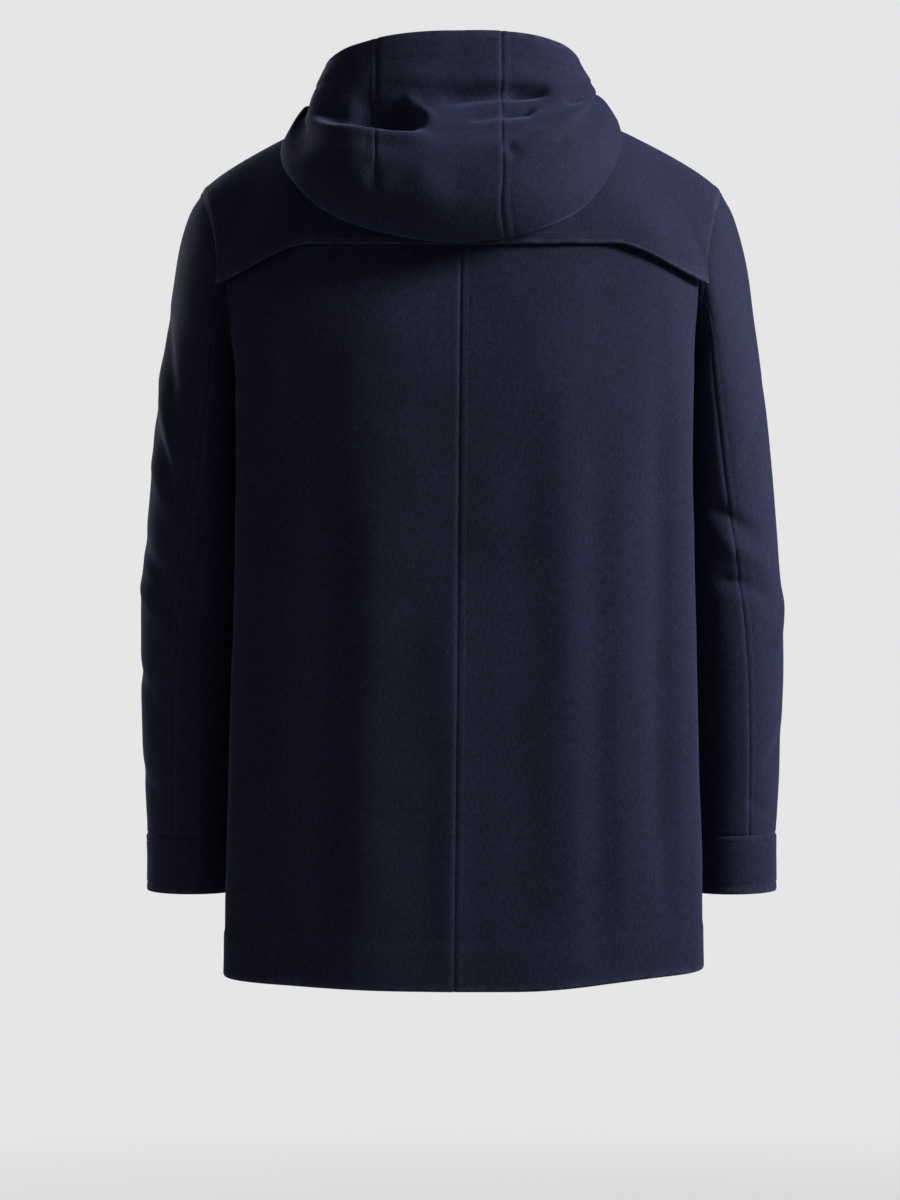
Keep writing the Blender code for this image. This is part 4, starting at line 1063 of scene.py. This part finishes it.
def stitch_tree():
    """Lays stitches of one length along routes."""
    tree = bpy.data.node_groups.new("stitches along a route", "GeometryNodeTree")
    face = tree.interface
    face.new_socket("Routes", in_out="INPUT", socket_type="NodeSocketGeometry")
    sizes = (("Pitch", STITCH_PITCH), ("Length", STITCH_LENGTH), ("Thickness", STITCH_THICK))
    for name, value in sizes:
        socket = face.new_socket(name, in_out="INPUT", socket_type="NodeSocketFloat")
        socket.default_value = value
        socket.subtype = "DISTANCE"
    face.new_socket("Thread", in_out="INPUT", socket_type="NodeSocketMaterial")
    face.new_socket("Stitches", in_out="OUTPUT", socket_type="NodeSocketGeometry")
    add, link = tree.nodes.new, tree.links.new
    start, end = add("NodeGroupInput"), add("NodeGroupOutput")
    curve, resample = add("GeometryNodeMeshToCurve"), add("GeometryNodeResampleCurve")
    resample.mode = "LENGTH"
    points, spot = add("GeometryNodeInstanceOnPoints"), add("GeometryNodeMeshUVSphere")
    spot.inputs["Segments"].default_value = 6
    spot.inputs["Rings"].default_value = 4
    spot.inputs["Radius"].default_value = 0.5
    tangent, turn = add("GeometryNodeInputTangent"), add("FunctionNodeAlignRotationToVector")
    turn.axis = "Z"
    size = add("ShaderNodeCombineXYZ")
    real, paint = add("GeometryNodeRealizeInstances"), add("GeometryNodeSetMaterial")
    smooth = add("GeometryNodeSetShadeSmooth")
    link(start.outputs["Routes"], curve.inputs["Mesh"])
    link(curve.outputs["Curve"], resample.inputs["Curve"])
    link(start.outputs["Pitch"], resample.inputs["Length"])
    link(resample.outputs["Curve"], points.inputs["Points"])
    link(spot.outputs["Mesh"], points.inputs["Instance"])
    link(tangent.outputs["Tangent"], turn.inputs["Vector"])
    link(turn.outputs["Rotation"], points.inputs["Rotation"])
    link(start.outputs["Thickness"], size.inputs["X"])
    link(start.outputs["Thickness"], size.inputs["Y"])
    link(start.outputs["Length"], size.inputs["Z"])
    link(size.outputs["Vector"], points.inputs["Scale"])
    link(points.outputs["Instances"], real.inputs["Geometry"])
    link(real.outputs["Geometry"], smooth.inputs["Geometry"])
    link(smooth.outputs["Geometry"], paint.inputs["Geometry"])
    link(start.outputs["Thread"], paint.inputs["Material"])
    link(paint.outputs["Geometry"], end.inputs["Stitches"])
    return tree


def make_stitches(name, routes, tree):
    """All the stitches of one part of the coat, as a plain mesh."""
    vertices, edges = [], []
    for route in routes:
        start = sum(map(len, vertices))
        vertices.append(route)
        edges += [(start + k, start + k + 1) for k in range(len(route) - 1)]
    guide = bpy.data.meshes.new(f"{name}_routes")
    guide.from_pydata(np.vstack(vertices).tolist(), edges, [])
    laid = bpy.data.objects.new(f"{name}_routes", guide)
    bpy.context.scene.collection.objects.link(laid)
    modifier = laid.modifiers.new("stitches", "NODES")
    modifier.node_group = tree
    for item in tree.interface.items_tree:
        if item.name == "Thread" and item.in_out == "INPUT":
            modifier[item.identifier] = THREAD_MATERIAL
    depsgraph = bpy.context.evaluated_depsgraph_get()
    mesh = bpy.data.meshes.new_from_object(laid.evaluated_get(depsgraph), depsgraph=depsgraph)
    mesh.name = name
    laid.modifiers.remove(modifier)
    bpy.data.objects.remove(laid)
    piece = bpy.data.objects.new(name, mesh)
    bpy.context.scene.collection.objects.link(piece)
    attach(piece, "root")


# ---------------------------------------------------------------- finishes

NAVY_DARK = (0.0040, 0.0044, 0.0145)
NAVY_LIGHT = (0.0190, 0.0210, 0.0560)
NAVY_RUBBED = (0.040, 0.045, 0.095)
THREAD_DARK = (0.005, 0.005, 0.016)
THREAD_LIGHT = (0.016, 0.018, 0.045)
LINT = (0.22, 0.22, 0.30)
CORD_DARK = (0.006, 0.006, 0.009)
CORD_LIGHT = (0.030, 0.030, 0.042)
HORN_DARK = (0.012, 0.007, 0.005)
HORN_LIGHT = (0.115, 0.062, 0.030)


def new_group(name, inputs, outputs):
    """An empty shader group. inputs and outputs are (name, kind, default) rows."""
    kinds = {"colour": "NodeSocketColor", "number": "NodeSocketFloat"}
    group = bpy.data.node_groups.new(name, "ShaderNodeTree")
    for way, rows in (("INPUT", inputs), ("OUTPUT", outputs)):
        for label, kind, default in rows:
            socket = group.interface.new_socket(label, in_out=way, socket_type=kinds[kind])
            if way == "INPUT" and default is not None:
                socket.default_value = (*default, 1) if kind == "colour" else default
    return group, group.nodes.new("NodeGroupInput"), group.nodes.new("NodeGroupOutput")


class Nodes:
    """Short ways to add and join the nodes of one shader tree."""

    def __init__(self, tree):
        self.tree = tree

    def add(self, kind, settings=(), **inputs):
        node = self.tree.nodes.new(f"ShaderNode{kind}")
        for name, value in dict(settings).items():
            setattr(node, name, value)
        for name, value in inputs.items():
            self.feed(node.inputs[name.replace("_", " ")], value)
        return node

    def feed(self, socket, value):
        if isinstance(value, bpy.types.NodeSocket):
            self.tree.links.new(value, socket)
        else:
            socket.default_value = value

    def maths(self, operation, a, b=0.0, clamp=False):
        node = self.tree.nodes.new("ShaderNodeMath")
        node.operation, node.use_clamp = operation, clamp
        self.feed(node.inputs[0], a)
        self.feed(node.inputs[1], b)
        return node.outputs[0]

    def scaled(self, vector, scale):
        node = self.tree.nodes.new("ShaderNodeMapping")
        self.feed(node.inputs["Vector"], vector)
        node.inputs["Scale"].default_value = scale
        return node.outputs["Vector"]

    def noise(self, vector, detail=2.0, roughness=0.5, distortion=0.0):
        node = self.tree.nodes.new("ShaderNodeTexNoise")
        self.feed(node.inputs["Vector"], vector)
        node.inputs["Scale"].default_value = 1.0
        node.inputs["Detail"].default_value = detail
        node.inputs["Roughness"].default_value = roughness
        node.inputs["Distortion"].default_value = distortion
        return node.outputs["Fac"]

    def blend(self, share, a, b):
        node = self.tree.nodes.new("ShaderNodeMix")
        node.data_type = "RGBA"
        self.feed(node.inputs["Factor"], share)
        self.feed(node.inputs["A"], a)
        self.feed(node.inputs["B"], b)
        return node.outputs["Result"]

    def spread(self, value, low, high, to_low=0.0, to_high=1.0):
        node = self.tree.nodes.new("ShaderNodeMapRange")
        self.feed(node.inputs["Value"], value)
        for name, number in zip(("From Min", "From Max", "To Min", "To Max"), (low, high, to_low, to_high)):
            node.inputs[name].default_value = number
        return node.outputs["Result"]


def brushed_nap():
    """Short fibres brushed one way, cloudy patches where they lie differently, and a few specks of lint."""
    group, given, result = new_group(
        "brushed nap",
        (("Dark", "colour", (0.01, 0.01, 0.03)), ("Light", "colour", (0.03, 0.03, 0.08)),
         ("Cloudiness", "number", 0.5), ("Lint", "number", 0.5)),
        (("Colour", "colour", None), ("Roughness", "number", None), ("Height", "number", None)),
    )
    n = Nodes(group)
    place = n.add("TexCoord").outputs["Object"]
    along = n.add("UVMap", {"uv_map": "cloth"}).outputs["UV"]
    fibres = n.noise(n.scaled(along, (2300, 520, 1)), 3.0, 0.65)
    fuzz = n.noise(n.scaled(place, (1500, 1500, 1500)), 2.0, 0.6)
    flock = n.noise(n.scaled(place, (330, 330, 330)), 3.0, 0.6)
    clouds = n.noise(n.scaled(place, (26, 26, 19)), 4.0, 0.55, 0.3)
    twill = n.add("TexWave", {"wave_type": "BANDS", "bands_direction": "DIAGONAL"},
                  Vector=along, Scale=190.0, Distortion=3.5, Detail=2.0, Detail_Scale=3.0)
    brushed = n.noise(n.scaled(along, (620, 150, 1)), 3.0, 0.6)
    fine = n.maths("ADD", n.maths("MULTIPLY", fibres, 0.25), n.maths("MULTIPLY", fuzz, 0.15))
    fine = n.maths("ADD", fine, n.maths("MULTIPLY", flock, 0.30))
    fine = n.maths("ADD", fine, n.maths("MULTIPLY", brushed, 0.30))
    cloudy = n.maths("MULTIPLY", n.spread(clouds, 0.30, 0.70, -0.5, 0.5), given.outputs["Cloudiness"])
    share = n.maths("ADD", n.spread(fine, 0.40, 0.60), cloudy, clamp=True)
    colour = n.blend(share, given.outputs["Dark"], given.outputs["Light"])
    specks = n.add("TexVoronoi", {"feature": "F1"}, Vector=n.scaled(place, (62, 62, 62)), Scale=1.0,
                   Randomness=1.0)
    near = n.spread(specks.outputs["Distance"], 0.030, 0.018)
    some = n.spread(n.add("SeparateColor", Color=specks.outputs["Color"]).outputs["Red"], 0.72, 0.80)
    lint = n.maths("MULTIPLY", n.maths("MULTIPLY", near, some), given.outputs["Lint"], clamp=True)
    colour = n.blend(lint, colour, (*LINT, 1))
    n.feed(result.inputs["Colour"], colour)
    n.feed(result.inputs["Roughness"], n.spread(flock, 0.3, 0.7, 0.82, 0.98))
    height = n.maths("ADD", n.maths("MULTIPLY", fine, 0.75), n.maths("MULTIPLY", twill.outputs["Fac"], 0.12))
    n.feed(result.inputs["Height"], n.maths("ADD", height, n.maths("MULTIPLY", lint, 0.5)))
    return group


def edge_wear():
    """Rubbed edges: the nap is thinner and a little paler by a cut or folded edge."""
    group, given, result = new_group(
        "rubbed edges",
        (("Colour", "colour", (0, 0, 0)), ("Rubbed", "colour", (0.1, 0.1, 0.1)), ("Amount", "number", 0.5)),
        (("Colour", "colour", None),),
    )
    n = Nodes(group)
    edge = n.add("Attribute", {"attribute_name": "edge"}).outputs["Fac"]
    place = n.add("TexCoord").outputs["Object"]
    uneven = n.spread(n.noise(n.scaled(place, (140, 140, 140)), 3.0, 0.6), 0.35, 0.62)
    mask = n.maths("MULTIPLY", n.maths("MULTIPLY", edge, uneven), given.outputs["Amount"], clamp=True)
    n.feed(result.inputs["Colour"], n.blend(mask, given.outputs["Colour"], given.outputs["Rubbed"]))
    return group


def principled(name, **constants):
    material = bpy.data.materials.new(name)
    material.use_nodes = True
    shader = material.node_tree.nodes["Principled BSDF"]
    for label, value in constants.items():
        shader.inputs[label.replace("_", " ")].default_value = value
    return material, Nodes(material.node_tree), shader


def place_group(nodes, group, **inputs):
    node = nodes.tree.nodes.new("ShaderNodeGroup")
    node.node_tree = group
    for label, value in inputs.items():
        nodes.feed(node.inputs[label.replace("_", " ")], value)
    return node.outputs


def wool_material(nap, rubbed):
    material, n, shader = principled(
        "navy_brushed_wool", Sheen_Weight=0.22, Sheen_Roughness=0.42, Sheen_Tint=(0.30, 0.36, 0.80, 1),
        Specular_IOR_Level=0.22,
    )
    cloth = place_group(n, nap, Dark=(*NAVY_DARK, 1), Light=(*NAVY_LIGHT, 1), Cloudiness=0.16, Lint=0.55)
    worn = place_group(n, rubbed, Colour=cloth["Colour"], Rubbed=(*NAVY_RUBBED, 1), Amount=0.55)
    bump = n.add("Bump", Strength=0.60, Distance=0.0010, Height=cloth["Height"])
    n.feed(shader.inputs["Base Color"], worn["Colour"])
    n.feed(shader.inputs["Roughness"], cloth["Roughness"])
    n.feed(shader.inputs["Normal"], bump.outputs["Normal"])
    return material


def thread_material():
    material, n, shader = principled("navy_thread", Specular_IOR_Level=0.4, Sheen_Weight=0.15)
    place = n.add("TexCoord").outputs["Object"]
    twist = n.noise(n.scaled(place, (2200, 2200, 2200)), 2.0, 0.5)
    n.feed(shader.inputs["Base Color"], n.blend(twist, (*THREAD_DARK, 1), (*THREAD_LIGHT, 1)))
    n.feed(shader.inputs["Roughness"], n.spread(twist, 0.3, 0.7, 0.45, 0.65))
    return material


def cord_material():
    material, n, shader = principled("black_cord", Specular_IOR_Level=0.35, Sheen_Weight=0.2)
    place = n.add("TexCoord").outputs["Object"]
    fibres = n.noise(n.scaled(place, (1900, 1900, 1900)), 3.0, 0.6)
    n.feed(shader.inputs["Base Color"], n.blend(fibres, (*CORD_DARK, 1), (*CORD_LIGHT, 1)))
    n.feed(shader.inputs["Roughness"], n.spread(fibres, 0.3, 0.7, 0.6, 0.85))
    bump = n.add("Bump", Strength=0.5, Distance=0.0004, Height=fibres)
    n.feed(shader.inputs["Normal"], bump.outputs["Normal"])
    return material


def horn_material():
    material, n, shader = principled("dark_horn", Coat_Roughness=0.12, Specular_IOR_Level=0.5)
    place = n.add("TexCoord").outputs["Object"]
    streaks = n.noise(n.scaled(place, (420, 420, 45)), 5.0, 0.6, 0.6)
    clouds = n.noise(n.scaled(place, (90, 90, 30)), 2.0, 0.5)
    share = n.maths("ADD", n.spread(streaks, 0.35, 0.70), n.spread(clouds, 0.35, 0.65, -0.3, 0.3), clamp=True)
    n.feed(shader.inputs["Base Color"], n.blend(share, (*HORN_DARK, 1), (*HORN_LIGHT, 1)))
    n.feed(shader.inputs["Roughness"], n.spread(streaks, 0.3, 0.7, 0.22, 0.40))
    n.feed(shader.inputs["Coat Weight"], n.spread(clouds, 0.3, 0.7, 0.25, 0.45))
    bump = n.add("Bump", Strength=0.25, Distance=0.0003, Height=streaks)
    n.feed(shader.inputs["Normal"], bump.outputs["Normal"])
    return material


WOOL_MATERIAL = wool_material(brushed_nap(), edge_wear())
THREAD_MATERIAL = thread_material()
CORD_MATERIAL = cord_material()
HORN_MATERIAL = horn_material()


# ---------------------------------------------------------------- the coat, put together

panels = [*make_body(), make_yoke(), *make_sleeve(1, "left"), *make_sleeve(-1, "right")]
panels += [make_cuff(1, "left"), make_cuff(-1, "right"), *make_hood()]
patches = []
for number, z in enumerate(TOGGLE_HEIGHTS, start=1):
    patches += make_fastening(number, z)

named = {panel.name: panel for panel in panels}
for rows in STITCH_ROWS.values():
    for row in rows:
        named[row.panel].groove(row.edge, row.distance, row.depth, row.reach)

for panel in panels + patches:
    panel.settle()
    add_panel(panel, WOOL_MATERIAL)

tree = stitch_tree()
for name, rows in STITCH_ROWS.items():
    make_stitches(name, [named[row.panel].line(row.edge, row.distance) for row in rows], tree)
patch_routes = [patch.line(edge, PATCH_STITCH_AWAY) for patch in patches for edge in patch.edges]
make_stitches("patch_stitches", patch_routes, tree)


# ---------------------------------------------------------------- floor, light and camera

BACKDROP = (0.79, 0.79, 0.795)
WORLD_STRENGTH = 1.0     # how bright the backdrop looks
ROOM_LIGHT = 0.12        # and how much it lights
FLOOR_Z = -1.50
FLOOR_RINGS = (2.0, 5.0, 12.0, 60.0)
FLOOR_SIDES = 48
MIDDLE = (0, 0, -0.40)   # where two of the lights point


def make_floor():
    """A pale floor that fades into the backdrop far out, so no edge of it shows."""
    mesh = bpy.data.meshes.new("floor")
    vertices, faces = [(0, 0, FLOOR_Z)], []
    for radius in FLOOR_RINGS:
        angles = [2 * math.pi * k / FLOOR_SIDES for k in range(FLOOR_SIDES)]
        vertices += [(radius * math.cos(a), radius * math.sin(a), FLOOR_Z) for a in angles]
    for k in range(FLOOR_SIDES):
        faces.append((0, 1 + k, 1 + (k + 1) % FLOOR_SIDES))
        for ring in range(len(FLOOR_RINGS) - 1):
            a, b = 1 + ring * FLOOR_SIDES + k, 1 + ring * FLOOR_SIDES + (k + 1) % FLOOR_SIDES
            faces.append((a, a + FLOOR_SIDES, b + FLOOR_SIDES, b))
    mesh.from_pydata(vertices, [], faces)
    material, n, shader = principled("pale_floor", Roughness=0.9, Specular_IOR_Level=0.1)
    place = n.add("TexCoord").outputs["Object"]
    apart = n.add("SeparateXYZ", Vector=place)
    squares = [n.maths("POWER", apart.outputs[axis], 2.0) for axis in "XY"]
    out = n.maths("SQRT", n.maths("ADD", *squares))
    grain = n.noise(n.scaled(place, (3, 3, 3)), 2.0, 0.5)
    n.feed(shader.inputs["Base Color"], n.blend(grain, (0.80, 0.80, 0.80, 1), (0.83, 0.83, 0.83, 1)))
    seen = n.add("LightPath").outputs["Is Camera Ray"]
    glow = n.add("Emission", Color=(*BACKDROP, 1), Strength=n.spread(seen, 0, 1, ROOM_LIGHT, WORLD_STRENGTH))
    mix = n.add("MixShader")
    n.feed(mix.inputs[0], n.spread(out, 0.5, 3.5, 0.25, 1.0))
    n.tree.links.new(shader.outputs["BSDF"], mix.inputs[1])
    n.tree.links.new(glow.outputs["Emission"], mix.inputs[2])
    n.tree.links.new(mix.outputs["Shader"], n.tree.nodes["Material Output"].inputs["Surface"])
    mesh.materials.append(material)
    floor = bpy.data.objects.new("floor", mesh)
    bpy.context.scene.collection.objects.link(floor)
    return floor


def add_light(name, place, aim, size, power):
    data = bpy.data.lights.new(name, "AREA")
    data.shape, data.size, data.energy = "DISK", size, power
    light = bpy.data.objects.new(name, data)
    light.location = place
    light.rotation_euler = (Vector(aim) - Vector(place)).to_track_quat("-Z", "Y").to_euler()
    bpy.context.scene.collection.objects.link(light)


world = bpy.data.worlds.new("pale_room")
world.use_nodes = True
room = Nodes(world.node_tree)
seen = room.add("LightPath").outputs["Is Camera Ray"]
background = world.node_tree.nodes["Background"]
background.inputs["Color"].default_value = (*BACKDROP, 1)
room.feed(background.inputs["Strength"], room.spread(seen, 0, 1, ROOM_LIGHT, WORLD_STRENGTH))
bpy.context.scene.world = world
bpy.context.scene.view_settings.view_transform = "Standard"

floor = make_floor()
add_light("key_light", (-1.75, 0.66, 0.60), (0.05, 0, -0.25), 0.6, 64)
add_light("fill_light", (2.6, 2.4, 0.2), MIDDLE, 2.5, 6.5)
add_light("front_light", (1.6, -2.8, 0.8), MIDDLE, 1.8, 40)

lens = bpy.data.cameras.new("camera")
lens.lens, lens.sensor_width = 99, 36
camera = bpy.data.objects.new("camera", lens)
camera.location = (0.011, 3.125, -0.443)
camera.rotation_euler = (math.radians(90), 0, math.radians(180))
bpy.context.scene.collection.objects.link(camera)
bpy.context.scene.camera = camera
